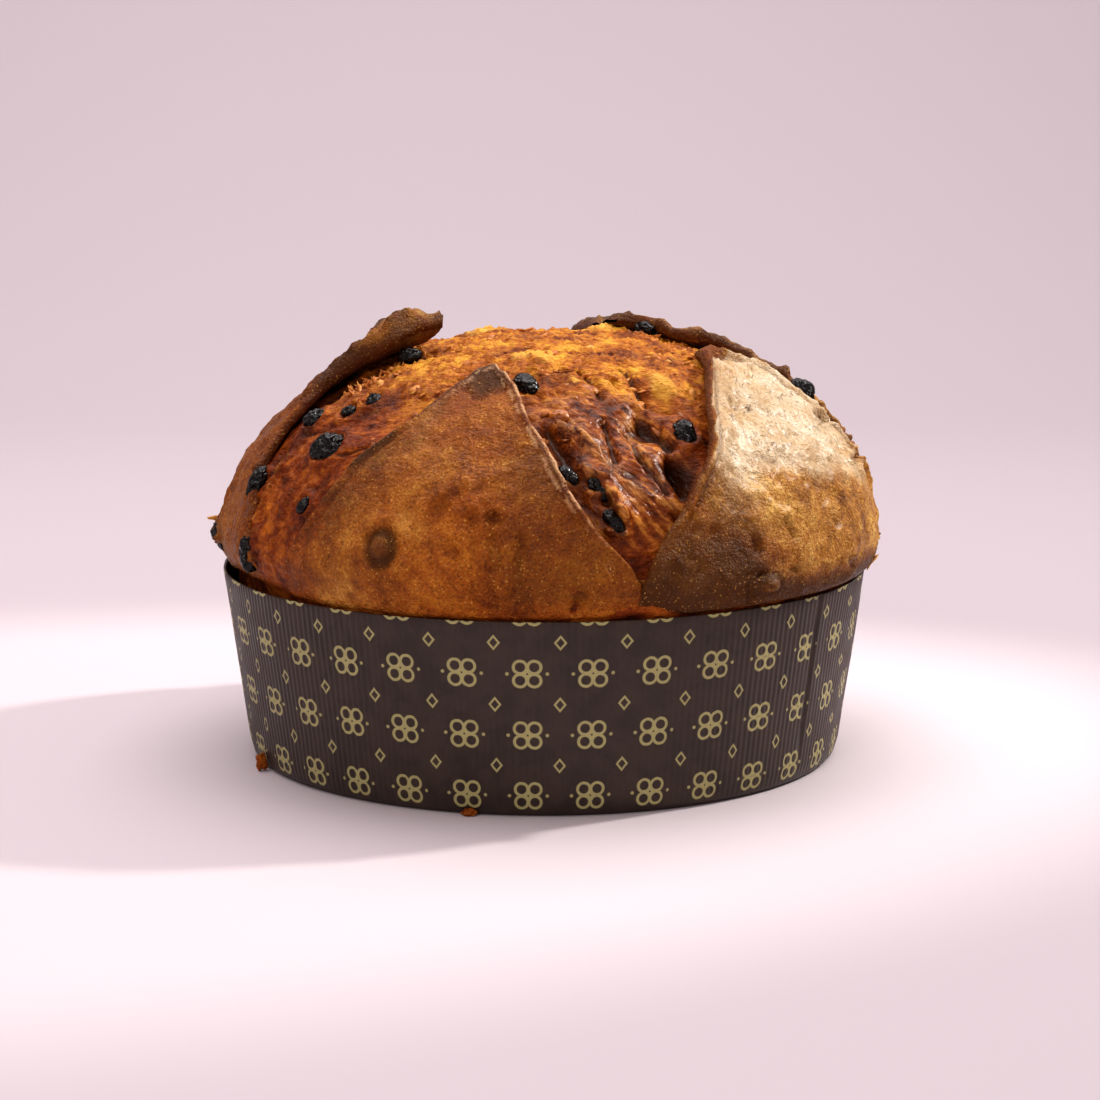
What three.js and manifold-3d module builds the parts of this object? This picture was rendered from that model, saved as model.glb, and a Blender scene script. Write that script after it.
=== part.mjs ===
// A low Milanese panettone in its corrugated paper case. Millimetres, +Z up, front towards -Y.
// The origin is the centre of the case's base, on the surface that the panettone stands on.
// A direction round the loaf is an angle in degrees: 0 is +X, -90 is the front.
// A level on the crust is a share of the way up: -1 at the paper's rim, 0 at the widest place and
// 1 at the crown.
import * as THREE from "three";
import { mergeVertices } from "three/addons/utils/BufferGeometryUtils.js";
import Module from "manifold-3d";

const wasm = await Module();
wasm.setup();

// Driving dimensions of the paper case
const RIM_RADIUS = 115;
const BASE_RADIUS = 105.7;
const CASE_HEIGHT = 67;
const PAPER = 1;
const FOOT_RADIUS = 3;
const CASE_SEGMENTS = 90;

// Driving dimensions of the loaf
const CROWN_HEIGHT = 148.6;
const WAIST_HEIGHT = 80;
const LOAF_RADIUS = 116.8;
const WAIST_BULGE = 1.4;
const LEFT_SLOPE = 3;
const DOME_POWER = 2.2;
const PAPER_GAP = 0.5;
const CORE_SINK = 5;
const LOAF_COLUMNS = 96;
const DOME_ROWS = 24;
const PETAL_COLUMNS = 15;
const PETAL_ROWS = 14;

const radians = THREE.MathUtils.degToRad;
const smooth = (x, low, high) => THREE.MathUtils.smoothstep(x, low, high);
const bell = (x, width) => Math.exp(-((x / width) ** 2));
const wall = (z) => BASE_RADIUS + ((RIM_RADIUS - BASE_RADIUS) * z) / CASE_HEIGHT;

// The shorter way round from one direction to another, in degrees
const turn = (from, to) => ((((to - from) % 360) + 540) % 360) - 180;

// A value read off a short list of [where, value] pairs, eased from each pair to the next
function along(pairs, where) {
  let k = 0;
  while (k < pairs.length - 2 && where > pairs[k + 1][0]) k += 1;
  const [[from, low], [to, high]] = [pairs[k], pairs[k + 1]];
  const share = THREE.MathUtils.clamp((where - from) / (to - from), 0, 1);
  return low + (high - low) * share;
}

// The crust's own shape, before it was cut: a full dome that rolls in under its waist to the paper
const waistRadius = (direction) =>
  LOAF_RADIUS + 1.2 * Math.cos(radians(direction)) + 0.8 * bell(turn(-40, direction), 32);
const overhang = (direction) => 0.15 + 0.85 * bell(turn(-18, direction), 52);
const neckRadius = (direction) =>
  RIM_RADIUS - PAPER - PAPER_GAP - 5.5 * bell(turn(-160, direction), 20);

function skin(direction, level) {
  const widest = waistRadius(direction);
  let radius;
  let height;
  if (level >= 0) {
    const rise = (level * Math.PI) / 2;
    const slope = LEFT_SLOPE * smooth(level, 0, 0.35) * bell(turn(180, direction), 60);
    radius = (widest - slope) * Math.max(Math.cos(rise), 0) ** (2 / DOME_POWER);
    radius += WAIST_BULGE * bell(level, 0.07);
    height =
      WAIST_HEIGHT + (CROWN_HEIGHT - WAIST_HEIGHT) * Math.sin(rise) ** (2 / DOME_POWER);
  } else {
    const down = Math.min(-level, 1);
    const rolled = Math.sqrt(1 - down ** 2);
    const plain = 1 - down ** 1.6;
    const share = THREE.MathUtils.lerp(plain, rolled, overhang(direction));
    radius = THREE.MathUtils.lerp(neckRadius(direction), widest + WAIST_BULGE, share);
    height = WAIST_HEIGHT - (WAIST_HEIGHT - CASE_HEIGHT - 0.6) * down;
  }
  if (level < -1) {
    height = CASE_HEIGHT + 0.6 + (level + 1) * 40;
    radius = neckRadius(direction) - wall(CASE_HEIGHT) + wall(height);
  }
  const angle = radians(direction);
  return new THREE.Vector3(radius * Math.cos(angle), radius * Math.sin(angle), height);
}

// A place on the skin, moved out along the skin's normal
function place(direction, level, out) {
  const step = 0.01;
  const at = skin(direction, level);
  const tilt = skin(direction, level + step).sub(skin(direction, level - step));
  const angle = radians(direction);
  const side = new THREE.Vector3(-Math.sin(angle), Math.cos(angle), 0);
  const normal = side.cross(tilt).normalize();
  if (level > 0.995) normal.set(0, 0, 1);
  return at.addScaledVector(normal, out);
}

// The four flaps that the cross-shaped cut leaves. Their edges are [level, direction] pairs.
// Each lift is how far that edge stands off the skin, edge its thickness there, as [level, size] pairs,
// roll the width over which the lift dies away, and crowd how much closer its rows come near the tip.
const FLAPS = {
  front_left: {
    top: 0.685,
    low: [
      [-1, -146], [0, -138], [0.18, -131], [0.32, -127.5], [0.44, -120.5], [0.56, -116],
      [0.685, -111],
    ],
    high: [
      [-1, -73.5], [0, -74.5], [0.05, -76.7], [0.13, -81], [0.24, -85.7], [0.39, -89.7],
      [0.59, -96.5], [0.685, -106],
    ],
    liftLow: [[-1, -1.5], [0, -0.5], [0.3, 0.6], [0.6, 2.2]],
    liftHigh: [[-1, -2.5], [0, -0.8], [0.25, 1.6], [0.6, 3.2]],
    edge: [[0, 2.4], [0.67, 3]],
    roll: 16,
    crowd: 1.35,
  },
  front_right: {
    top: 0.7,
    low: [
      [-1, -75.5], [0, -74], [0.09, -71.4], [0.18, -67], [0.35, -59], [0.515, -51.5],
      [0.62, -41], [0.7, -24],
    ],
    high: [[-1, -2], [0.16, -3], [0.4, -8], [0.6, -9], [0.7, -17]],
    liftLow: [[-1, -2.5], [0, -0.5], [0.25, 2.6], [0.45, 4.2], [0.7, 4.6]],
    liftHigh: [[-1, -1], [0, 0], [0.4, 1], [0.55, 3.4], [0.7, 4.6]],
    edge: [[0, 3.4], [0.66, 4.4]],
    roll: 20,
    crowd: 1.4,
  },
  back_right: {
    top: 0.85,
    low: [[-1, 4], [0.16, 3], [0.4, -2], [0.55, -2], [0.68, 4], [0.76, 9], [0.81, 22], [0.85, 40]],
    high: [[-1, 103], [0, 102], [0.3, 95], [0.5, 90], [0.7, 80], [0.8, 68], [0.85, 53]],
    liftLow: [
      [-1, -1], [0.2, 0.5], [0.42, 1.2], [0.52, 3], [0.6, 5], [0.66, 6.5],
      [0.7, 8.5], [0.75, 4.5], [0.78, 7], [0.81, 11], [0.85, 6],
    ],
    liftHigh: [[-1, -2], [0, 0.5], [0.4, 3], [0.7, 6], [0.85, 6]],
    edge: [[0, 3], [0.5, 3.4], [0.85, 5.5]],
    roll: 24,
    crowd: 1.9,
  },
  back_left: {
    top: 0.8,
    low: [[-1, 112], [0, 113], [0.3, 119], [0.5, 130], [0.65, 150], [0.74, 176], [0.8, 202]],
    high: [
      [-1, 213], [0, 212.5], [0.14, 210], [0.21, 205.5], [0.3, 203], [0.45, 201], [0.58, 200],
      [0.67, 208], [0.75, 212], [0.8, 207],
    ],
    liftLow: [[-1, -2], [0, 0.3], [0.4, 3], [0.62, 9], [0.8, 16]],
    liftHigh: [
      [-1, -1], [0.3, 0.4], [0.45, 1.6], [0.56, 5], [0.63, 10], [0.69, 14.5],
      [0.75, 17], [0.8, 15],
    ],
    edge: [[0, 2.8], [0.5, 3.6], [0.63, 8], [0.72, 12], [0.8, 14]],
    roll: 38,
    crowd: 1.6,
  },
};

// Lumps under the skin, as [direction, level, height, spread]
const LUMPS = [
  [-117, 0.07, 1.6, 6.5],
  [-52, -0.33, 2.2, 7],
  [9, 0.06, 2, 7],
  [-172, -0.1, 2.4, 6],
  [-148, 0.02, 2, 6],
  [-103, 0.5, 1.2, 9],
  [-28, 0.02, 1, 16],
  [20, 0.1, 1, 14],
  [150, 0.12, 1.6, 12],
];

// Distance over the skin between two places, good enough for soft lumps
const between = (direction, level, direction2, level2) =>
  Math.hypot(
    radians(turn(direction, direction2)) * LOAF_RADIUS * Math.cos((Math.max(level, 0) * Math.PI) / 2),
    (level - level2) * (Math.min(level, level2) < 0 ? 40 : 105),
  );

const swell = (direction, level) =>
  LUMPS.reduce(
    (sum, [at, up, height, spread]) =>
      sum + height * bell(between(direction, level, at, up), spread),
    0.8 * Math.sin(radians(3 * direction + 40)) * Math.cos(level * 3),
  );

// One flap as a closed loop of places round its section, row after row up to its tip
function flapSolid(flap) {
  const bottom = -1.25;
  const rows = [];
  for (let row = 0; row <= PETAL_ROWS; row += 1) {
    const share = row / PETAL_ROWS;
    const level = bottom + (flap.top - bottom) * (1 - (1 - share) ** flap.crowd);
    const low = along(flap.low, level);
    const high = low + turn(low, along(flap.high, level));
    const loop = [];
    const width = radians(high - low) * skin(low, level).setZ(0).length();
    const toTip = (flap.top - level) * 105;
    for (let k = 0; k < 2 * PETAL_COLUMNS; k += 1) {
      const outside = k <= PETAL_COLUMNS;
      const across = outside ? k / PETAL_COLUMNS : (2 * PETAL_COLUMNS - k) / PETAL_COLUMNS;
      const u = 0.5 - 0.5 * Math.cos(Math.PI * across);
      const direction = low + (high - low) * u;
      const toEdge = Math.min(width * u, width * (1 - u), toTip);
      const nearLow = 1 - smooth(u, 0.25, 0.75);
      const lift =
        along(flap.liftLow, level) * nearLow + along(flap.liftHigh, level) * (1 - nearLow);
      const rise = lift * (1 - smooth(toEdge, 0, flap.roll));
      const edge = along(flap.edge, level);
      const thick = edge + (10 - edge) * smooth(toEdge, 4, 30);
      const half = thick / 2;
      const nose = THREE.MathUtils.clamp(toEdge / half, 0.06, 1);
      const section = half * Math.sqrt(1 - (1 - nose) ** 2);
      const free = smooth(level, -1, -0.75);
      const middle = rise - half + swell(direction, level) * smooth(toEdge, 0, 10) * free;
      const sunk = 3 * smooth(-level, 0.99, 1.1);
      loop.push(place(direction, level, middle + (outside ? section : -section) - sunk));
    }
    rows.push(loop);
  }
  return loft(rows);
}

// A closed solid through loops of places, its two ends closed by a fan
function loft(rows) {
  const around = rows[0].length;
  const points = rows.flat();
  const faces = [];
  for (let row = 0; row + 1 < rows.length; row += 1)
    for (let k = 0; k < around; k += 1) {
      const [a, b] = [row * around + k, row * around + ((k + 1) % around)];
      faces.push([a, b, b + around], [a, b + around, a + around]);
    }
  const last = (rows.length - 1) * around;
  const ends = [rows[0], rows.at(-1)].map((loop) =>
    loop.reduce((sum, p) => sum.add(p), new THREE.Vector3()).divideScalar(around),
  );
  points.push(...ends);
  for (let k = 0; k < around; k += 1) {
    const next = (k + 1) % around;
    faces.push([points.length - 2, next, k]);
    faces.push([points.length - 1, last + k, last + next]);
  }
  return solidFrom(points, faces);
}

function solidFrom(points, faces) {
  const geometry = new THREE.BufferGeometry();
  geometry.setAttribute(
    "position",
    new THREE.Float32BufferAttribute(points.flatMap((p) => p.toArray()), 3),
  );
  geometry.setIndex(faces.flat());
  return toManifold(geometry);
}

function toManifold(geometry) {
  const bare = geometry.clone();
  bare.deleteAttribute("normal");
  bare.deleteAttribute("uv");
  const merged = mergeVertices(bare, 1e-4);
  const corners = Array.from(merged.index.array);
  const whole = [];
  for (let k = 0; k < corners.length; k += 3) {
    const [a, b, c] = corners.slice(k, k + 3);
    if (a !== b && b !== c && c !== a) whole.push(a, b, c);
  }
  return new wasm.Manifold(
    new wasm.Mesh({
      numProp: 3,
      vertProperties: new Float32Array(merged.attributes.position.array),
      triVerts: new Uint32Array(whole),
    }),
  );
}

function toGeometry(solid) {
  const mesh = solid.getMesh();
  const geometry = new THREE.BufferGeometry();
  geometry.setAttribute("position", new THREE.BufferAttribute(mesh.vertProperties, 3));
  geometry.setIndex(new THREE.BufferAttribute(mesh.triVerts, 1));
  const flat = geometry.toNonIndexed();
  flat.computeVertexNormals();
  return flat;
}

// Hollows in the torn crumb, and lumps where the depth is less than nothing,
// as [direction, level, depth, spread]
const HOLES = [
  [-68.5, 0.49, 5, 5],
  [-57.5, 0.59, 4, 5],
  [-62.5, 0.32, 6, 6],
  [-84, 0.28, 3, 5],
  [-164, 0.5, -2.6, 4],
  [-81.5, 0.44, -2.4, 4.5],
  [-10, 0.5, 3, 7],
];

// The torn crumb that shows between the flaps: how far it stands off the skin
function crumb(direction, level) {
  const top = smooth(level, 0.42, 0.72);
  const upTo = smooth(level, 0.02, 0.2) * (1 - smooth(level, 0.5, 0.66));
  const inFront = bell(turn(-77, direction), 17) * upTo;
  const atLeft = bell(turn(-144, direction), 17) * (1 - top);
  const folds = 1.9 * Math.cos(radians(18 * (turn(-77, direction) + 28 * level)));
  const holes = HOLES.reduce(
    (sum, [at, up, depth, spread]) =>
      sum + depth * bell(between(direction, level, at, up), spread),
    0,
  );
  return -CORE_SINK + 4.6 * top + inFront * (folds - 1) + 3.4 * atLeft - holes;
}

// The loaf without its flaps: the crumb's dome, and the sides and base that the paper hides
function crumbSolid() {
  const rows = [];
  const floorHeight = PAPER + PAPER_GAP;
  const ring = (radiusOf, height) =>
    Array.from({ length: LOAF_COLUMNS }, (_, k) => {
      const direction = (360 * k) / LOAF_COLUMNS;
      const radius = radiusOf(direction);
      const angle = radians(direction);
      return new THREE.Vector3(radius * Math.cos(angle), radius * Math.sin(angle), height);
    });
  const inside = (height) => () => wall(height) - PAPER - PAPER_GAP;
  rows.push(ring(() => BASE_RADIUS - 8, floorHeight));
  rows.push(ring(() => BASE_RADIUS - 3.5, floorHeight + 1.2));
  rows.push(ring(inside(6), 6));
  rows.push(ring((direction) => neckRadius(direction) - wall(CASE_HEIGHT) + wall(55), 55));
  for (let row = 0; row <= DOME_ROWS; row += 1) {
    const level = -1 + 1.985 * (row / DOME_ROWS) ** 0.85;
    rows.push(
      Array.from({ length: LOAF_COLUMNS }, (_, k) => {
        const direction = (360 * k) / LOAF_COLUMNS;
        const under = smooth(-level, 0.2, 1);
        return place(direction, level, crumb(direction, level) * (1 - under) - 0.3 * under);
      }),
    );
  }
  return loft(rows);
}

// Raisins that show, as [direction, level, out, [half sizes: round, up, out], turn]
const RAISINS = [
  [-136.7, 0.345, -1.2, [6.2, 6.2, 4.8], 0],
  [-153.5, 0.19, -0.8, [3.4, 6.4, 3.4], 6],
  [-150.5, 0.43, -1.6, [3.8, 4.6, 3.2], -30],
  [-140.5, 0.475, -2, [4, 3, 2.8], 20],
  [-137, 0.535, -2, [3.4, 3.4, 2.8], 0],
  [-135.3, 0.16, -1.2, [4.2, 2.8, 2.6], 50],
  [-149.5, -0.06, -1.2, [3.8, 6.4, 3.4], -8],
  [-172, -0.14, -1.4, [4.2, 5.2, 3.4], 0],
  [-95, 0.64, -1.6, [4, 7, 4], 25],
  [-85.5, 0.31, -3.6, [2.8, 4.4, 2.8], 35],
  [-80, 0.275, -5, [3, 5.4, 3.2], 35],
  [-78.2, 0.165, -4.4, [3, 5, 3], 35],
  [-58.5, 0.455, -5, [4.2, 5.4, 4], 0],
  [0, 0.46, 1.4, [6.4, 5, 4.2], 20],
  [-22.5, 0.755, -3.2, [4.6, 2.8, 2.8], 0],
  [0, 0.565, 0.6, [5.2, 3.8, 3.2], 0],
  [-149, 0.71, 1, [4.6, 4, 3.4], 30],
  [25, 0.8, 2.6, [5.4, 4.6, 3.6], 0],
  [106, 0.3, -3.6, [5, 6, 4], 15],
  [101, 0.52, -3.2, [5.4, 4.4, 3.8], -20],
  [109, 0.12, -3.4, [4, 5.6, 3.4], 0],
  [95, 0.7, -1.6, [4.8, 4.8, 3.8], 0],
];

// A raisin is a small wrinkled ball, flattened where it lies in the crumb
function raisinSolid([direction, level, out, half, turned], grow = 0) {
  const ball = new THREE.IcosahedronGeometry(1, 1);
  const at = ball.getAttribute("position");
  const p = new THREE.Vector3();
  for (let k = 0; k < at.count; k += 1) {
    p.fromBufferAttribute(at, k);
    const waves = Math.sin(7 * p.x + 3 * p.z + direction) * Math.cos(6 * p.y - level);
    const wrinkle = grow ? 1 : 1 - 0.05 * (1 + waves);
    p.multiply(new THREE.Vector3(half[0] + grow, half[1] + grow, half[2] + grow));
    p.multiplyScalar(wrinkle);
    at.setXYZ(k, p.x, p.y, p.z);
  }
  const base = place(direction, level, out);
  const normal = place(direction, level, out + 1).sub(base).normalize();
  const angle = radians(direction);
  const side = new THREE.Vector3(-Math.sin(angle), Math.cos(angle), 0);
  const up = normal.clone().cross(side);
  const basis = new THREE.Matrix4().makeBasis(side, up, normal).setPosition(base);
  ball.applyMatrix4(new THREE.Matrix4().makeRotationZ(radians(turned)));
  ball.applyMatrix4(basis);
  return toManifold(ball);
}

// Candied orange peel that shows: small cushions of the same kind as the raisins
const PEELS = [
  [-79.5, 0.64, -3.2, [7, 4, 2.4], -20],
  [-86, 0.53, -3.6, [3.4, 3, 2], 0],
  [98, 0.4, -4.4, [6.5, 4, 2.4], 15],
];

// The case: base and side are one fold of corrugated paper, with a rounded foot
function caseGeometry() {
  const profile = new THREE.Path();
  const side = Math.atan2(RIM_RADIUS - BASE_RADIUS, CASE_HEIGHT);
  const inner = FOOT_RADIUS - PAPER;
  const centre = [BASE_RADIUS - FOOT_RADIUS, FOOT_RADIUS];
  profile.moveTo(0, 0);
  profile.lineTo(centre[0], 0);
  profile.absarc(...centre, FOOT_RADIUS, -Math.PI / 2, -side, false);
  profile.lineTo(RIM_RADIUS, CASE_HEIGHT);
  profile.lineTo(RIM_RADIUS - PAPER, CASE_HEIGHT);
  profile.absarc(...centre, inner, -side, -Math.PI / 2, true);
  profile.lineTo(0, PAPER);
  profile.closePath();
  const points = profile.getPoints(2);
  points[points.length - 1].x = 0;
  const lathe = new THREE.LatheGeometry(points, CASE_SEGMENTS);
  return lathe.rotateX(Math.PI / 2);
}

const finish = (color, roughness) =>
  new THREE.MeshStandardMaterial({ color, roughness, metalness: 0, flatShading: true });

const crust = finish(0x97582e, 0.55);
const paper = finish(0x3b2d28, 0.6);
const raisinSkin = finish(0x211c1a, 0.35);
const peelFlesh = finish(0xb0651c, 0.3);

const panettone = new THREE.Group();

function add(name, geometry, material) {
  const mesh = new THREE.Mesh(geometry, material);
  mesh.name = name;
  panettone.add(mesh);
}

const fruit = [
  ...RAISINS.map((spec, k) => [`raisin_${String(k + 1).padStart(2, "0")}`, spec, raisinSkin]),
  ...PEELS.map((spec, k) => [`candied_peel_${k + 1}`, spec, peelFlesh]),
];

let loaf = crumbSolid();
for (const flap of Object.values(FLAPS)) loaf = loaf.add(flapSolid(flap));
const FRUIT_GAP = 0.35;
for (const [, spec] of fruit) loaf = loaf.subtract(raisinSolid(spec, FRUIT_GAP + 0.4));
const [largest] = loaf.decompose().sort((a, b) => b.volume() - a.volume());

add("paper_case", toGeometry(toManifold(caseGeometry())), paper);
add("loaf", toGeometry(largest), crust);
for (const [name, spec, material] of fruit) add(name, toGeometry(raisinSolid(spec)), material);

export default panettone;
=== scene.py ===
# %% [markdown]
# # A panettone in its paper case
# A panettone is a tall sweet bread, baked in a corrugated paper case that stays on it. Before baking, a
# cross is cut in the top and the four corners of dough are folded back. In the oven they become four
# flaps of smooth brown crust, and the crumb tears open between them. This lesson models the flaps as
# thick curved skins over a torn core, adds the raisins and the peel, and then the paper.
# The CAD model comes first: it is the frame that every piece here has to fit.

# %% Load the CAD model
import math
import random

import bmesh
import bpy
import numpy as np
from mathutils import Matrix, Vector, noise


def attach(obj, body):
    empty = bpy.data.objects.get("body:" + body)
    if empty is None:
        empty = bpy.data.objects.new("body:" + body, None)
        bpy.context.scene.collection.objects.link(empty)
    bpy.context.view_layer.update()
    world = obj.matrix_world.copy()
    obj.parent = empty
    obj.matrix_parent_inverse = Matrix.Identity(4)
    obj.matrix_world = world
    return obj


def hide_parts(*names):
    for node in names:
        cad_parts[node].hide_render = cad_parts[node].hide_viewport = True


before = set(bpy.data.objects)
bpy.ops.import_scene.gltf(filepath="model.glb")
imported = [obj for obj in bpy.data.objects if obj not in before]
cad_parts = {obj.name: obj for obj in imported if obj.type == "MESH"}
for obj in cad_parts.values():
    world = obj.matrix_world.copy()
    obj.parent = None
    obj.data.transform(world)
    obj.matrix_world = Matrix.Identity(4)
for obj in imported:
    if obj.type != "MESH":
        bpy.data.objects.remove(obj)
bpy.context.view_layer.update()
MM = 0.001
# A quarter of a turn in radians, in the short form that the shapes were drawn with
QUARTER_TURN = 1.57

# %% [markdown]
# ## Camera, light and floor
# The camera stands a metre away and looks down about ten degrees, as a shopper would at a counter. A short
# lens close by would show the case's rim stretched, so the lens is long.

# %% Camera
LOOK_DOWN = 9.87
camera = bpy.data.objects.new("camera", bpy.data.cameras.new("camera"))
camera.data.lens = 90.91
camera.data.sensor_width = 36
camera.location = (0.0021, -0.9868, 0.2422)
camera.rotation_euler = (math.radians(90 - LOOK_DOWN), 0, 0)
bpy.context.collection.objects.link(camera)
bpy.context.scene.camera = camera
print("camera lens", camera.data.lens, "looks down", LOOK_DOWN)

# %% [markdown]
# Crust shows its blisters only where light skims over it. So the main lamp is a spot on the right, a little
# behind, which also throws the long shadow and the round pool of light. A wide lamp above and a weak one in
# front fill the shadows, and the room adds an even, faintly pink light.

# %% Lamps and the room's soft light


def lamp(name, kind, place_m, target_m, power, colour):
    """A lamp that faces a point."""
    light = bpy.data.lights.new(name, kind)
    light.energy = power
    light.color = colour
    stand = bpy.data.objects.new(name, light)
    stand.location = place_m
    facing = Vector(target_m) - Vector(place_m)
    stand.rotation_euler = facing.to_track_quat("-Z", "Y").to_euler()
    bpy.context.collection.objects.link(stand)
    return light


key = lamp("key", "SPOT", (1.12, 0.37, 1.02), (-0.12, -0.03, 0), 67, (1, 0.97, 0.92))
key.spot_size = math.radians(20)
key.spot_blend = 0.28
key.shadow_soft_size = 0.05
sky = lamp("sky", "AREA", (-0.1, 0.3, 1.5), (-0.1, 0.1, 0), 22, (1, 0.96, 0.97))
sky.size = 1.6
fill = lamp("fill", "AREA", (-0.45, -1.35, 0.85), (0, 0, 0.05), 4, (1, 0.94, 0.9))
fill.size = 0.5
bpy.context.scene.view_settings.view_transform = "Standard"
bpy.context.scene.view_settings.look = "Medium High Contrast"

world = bpy.data.worlds.new("room")
bpy.context.scene.world = world
world.use_nodes = True
room = world.node_tree.nodes["Background"]
room.inputs["Color"].default_value = (0.9, 0.82, 0.84, 1)
room.inputs["Strength"].default_value = 0.46
print("lamps", key.energy, sky.energy, fill.energy, "watts")

# %% [markdown]
# ## Writing a finish as arithmetic
# A material in Blender is a graph of nodes. Drawing it in code is easier to read when a node's output can
# be added and multiplied like a number, so `Wire` wraps one output, and `Finish` adds every other node.

# %% The Wire and Finish helpers


class Wire:
    """One output of a node, which takes part in sums as a number does."""

    def __init__(self, finish, socket):
        self.finish = finish
        self.socket = socket

    def math(self, operation, first, second=0.0):
        return self.finish.node("ShaderNodeMath", {"operation": operation}, {0: first, 1: second})

    def __add__(self, other):
        return self.math("ADD", self, other)

    def __radd__(self, other):
        return self.math("ADD", other, self)

    def __sub__(self, other):
        return self.math("SUBTRACT", self, other)

    def __rsub__(self, other):
        return self.math("SUBTRACT", other, self)

    def __mul__(self, other):
        return self.math("MULTIPLY", self, other)

    def __rmul__(self, other):
        return self.math("MULTIPLY", other, self)

    def __truediv__(self, other):
        return self.math("DIVIDE", self, other)

    def __pow__(self, other):
        return self.math("POWER", self, other)

    def __abs__(self):
        return self.math("ABSOLUTE", self)

    def fract(self):
        return self.math("FRACT", self)

    def least(self, other):
        return self.math("MINIMUM", self, other)

    def most(self, other):
        return self.math("MAXIMUM", self, other)

    def ease(self, low, high, start=0.0, end=1.0):
        """A soft step from start to end while the value goes from low to high."""
        return self.finish.node(
            "ShaderNodeMapRange",
            {"interpolation_type": "SMOOTHSTEP"},
            ins={"Value": self, "From Min": low, "From Max": high, "To Min": start, "To Max": end},
        )


class Finish:
    """A material with one Principled shader, and the nodes that feed it."""

    def __init__(self, name):
        self.material = bpy.data.materials.new(name)
        self.material.use_nodes = True
        self.tree = self.material.node_tree
        self.shader = self.tree.nodes["Principled BSDF"]

    def plug(self, socket, value):
        """Link a wire to a socket, or set the socket to a number or a colour."""
        if isinstance(value, Wire):
            self.tree.links.new(value.socket, socket)
        elif isinstance(value, tuple) and socket.type == "RGBA":
            socket.default_value = (*value, 1.0)[:4]
        else:
            socket.default_value = value

    def node(self, kind, settings=None, ins=None, out=0):
        """Any node: its type, its settings, what its sockets get, and which output to hand back."""
        new = self.tree.nodes.new(kind)
        for name, value in (settings or {}).items():
            if name == "stops":
                ramp = new.color_ramp.elements
                while len(ramp) < len(value):
                    ramp.new(0.5)
                for stop, (at, colour) in zip(ramp, value):
                    stop.position = at
                    stop.color = (*colour, 1)
            else:
                setattr(new, name, value)
        for name, value in (ins or {}).items():
            found = [s for s in new.inputs if s.identifier == name or s.name == name]
            self.plug(new.inputs[name] if isinstance(name, int) else found[0], value)
        wanted = [s for s in new.outputs if s.identifier == out or s.name == out]
        return Wire(self, new.outputs[out] if isinstance(out, int) else wanted[0])

    def object_place(self):
        return self.node("ShaderNodeTexCoord", out="Object")

    def attribute(self, name):
        return self.node("ShaderNodeAttribute", {"attribute_name": name}, out="Fac")

    def mix(self, share, plain, other):
        """One colour laid over another by a share from 0 to 1."""
        return self.node(
            "ShaderNodeMix",
            {"data_type": "RGBA", "clamp_factor": True},
            {"Factor_Float": share, "A_Color": plain, "B_Color": other},
            out="Result_Color",
        )

    def ramp(self, share, stops):
        """A colour read off stops of {share: colour}."""
        return self.node("ShaderNodeValToRGB", {"stops": list(stops.items())}, {"Fac": share})

    def cells(self, scale):
        """Distance from the middle of small random cells."""
        return self.node("ShaderNodeTexVoronoi", ins={"Scale": scale, "Vector": self.object_place()})

    def cloud(self, size_mm, detail=3.0, rough=0.55, place=None, **more):
        """Soft noise whose patches are about size_mm across, centred on 0.5."""
        ins = {"Scale": 1000 / size_mm, "Detail": detail, "Roughness": rough}
        ins["Vector"] = place or self.object_place()
        ins.update(more)
        return self.node("ShaderNodeTexNoise", ins=ins)

    def streaked(self):
        """Object coordinates pressed along X, so that patches become streaks."""
        place = {"Vector": self.object_place(), "Scale": (0.5, 1, 1)}
        return self.node("ShaderNodeMapping", {"vector_type": "POINT"}, place)

    def bump(self, height, depth_mm, strength=1.0):
        """Relief too fine for the mesh, as a change of the normal."""
        ins = {"Height": height, "Distance": depth_mm * MM, "Strength": strength}
        return self.node("ShaderNodeBump", ins=ins)

    def shade(self, **sockets):
        """Feed the shader's sockets, whose names are written with underscores."""
        for name, value in sockets.items():
            self.plug(self.shader.inputs[name.replace("_", " ")], value)
        return self.material


print("helpers", Wire.__name__, Finish.__name__)

# %% [markdown]
# The floor curves up into the backdrop, so the picture has no hard horizon. It is stage, not part of the
# panettone.

# %% Floor and backdrop
FLOOR_FRONT = -2.3
FLOOR_HALF_LENGTH = 2.4
FLOOR_HALF_WIDTH = 4
FLAT_END = 0.9
BEND_RADIUS = 0.7
BEND_FORWARD = 1.2
sweep = bmesh.new()
bmesh.ops.create_grid(sweep, x_segments=2, y_segments=60, size=1)
for corner in sweep.verts:
    run = (corner.co.y + 1) * FLOOR_HALF_LENGTH + FLOOR_FRONT
    bend = max(run - FLAT_END, 0)
    forward = min(run, FLAT_END + math.sin(min(bend, BEND_FORWARD)) * BEND_RADIUS)
    upward = (1 - math.cos(min(bend, QUARTER_TURN))) * BEND_RADIUS + max(bend - QUARTER_TURN, 0)
    corner.co = Vector((corner.co.x * FLOOR_HALF_WIDTH, forward, upward))
floor_mesh = bpy.data.meshes.new("floor")
sweep.to_mesh(floor_mesh)
sweep.free()
floor = bpy.data.objects.new("floor", floor_mesh)
bpy.context.collection.objects.link(floor)
for face in floor_mesh.polygons:
    face.use_smooth = True
card = Finish("pale card")
floor_mesh.materials.append(card.shade(Base_Color=(0.62, 0.545, 0.572), Roughness=0.8))
print("floor", [round(v, 2) for v in floor.dimensions])

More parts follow.
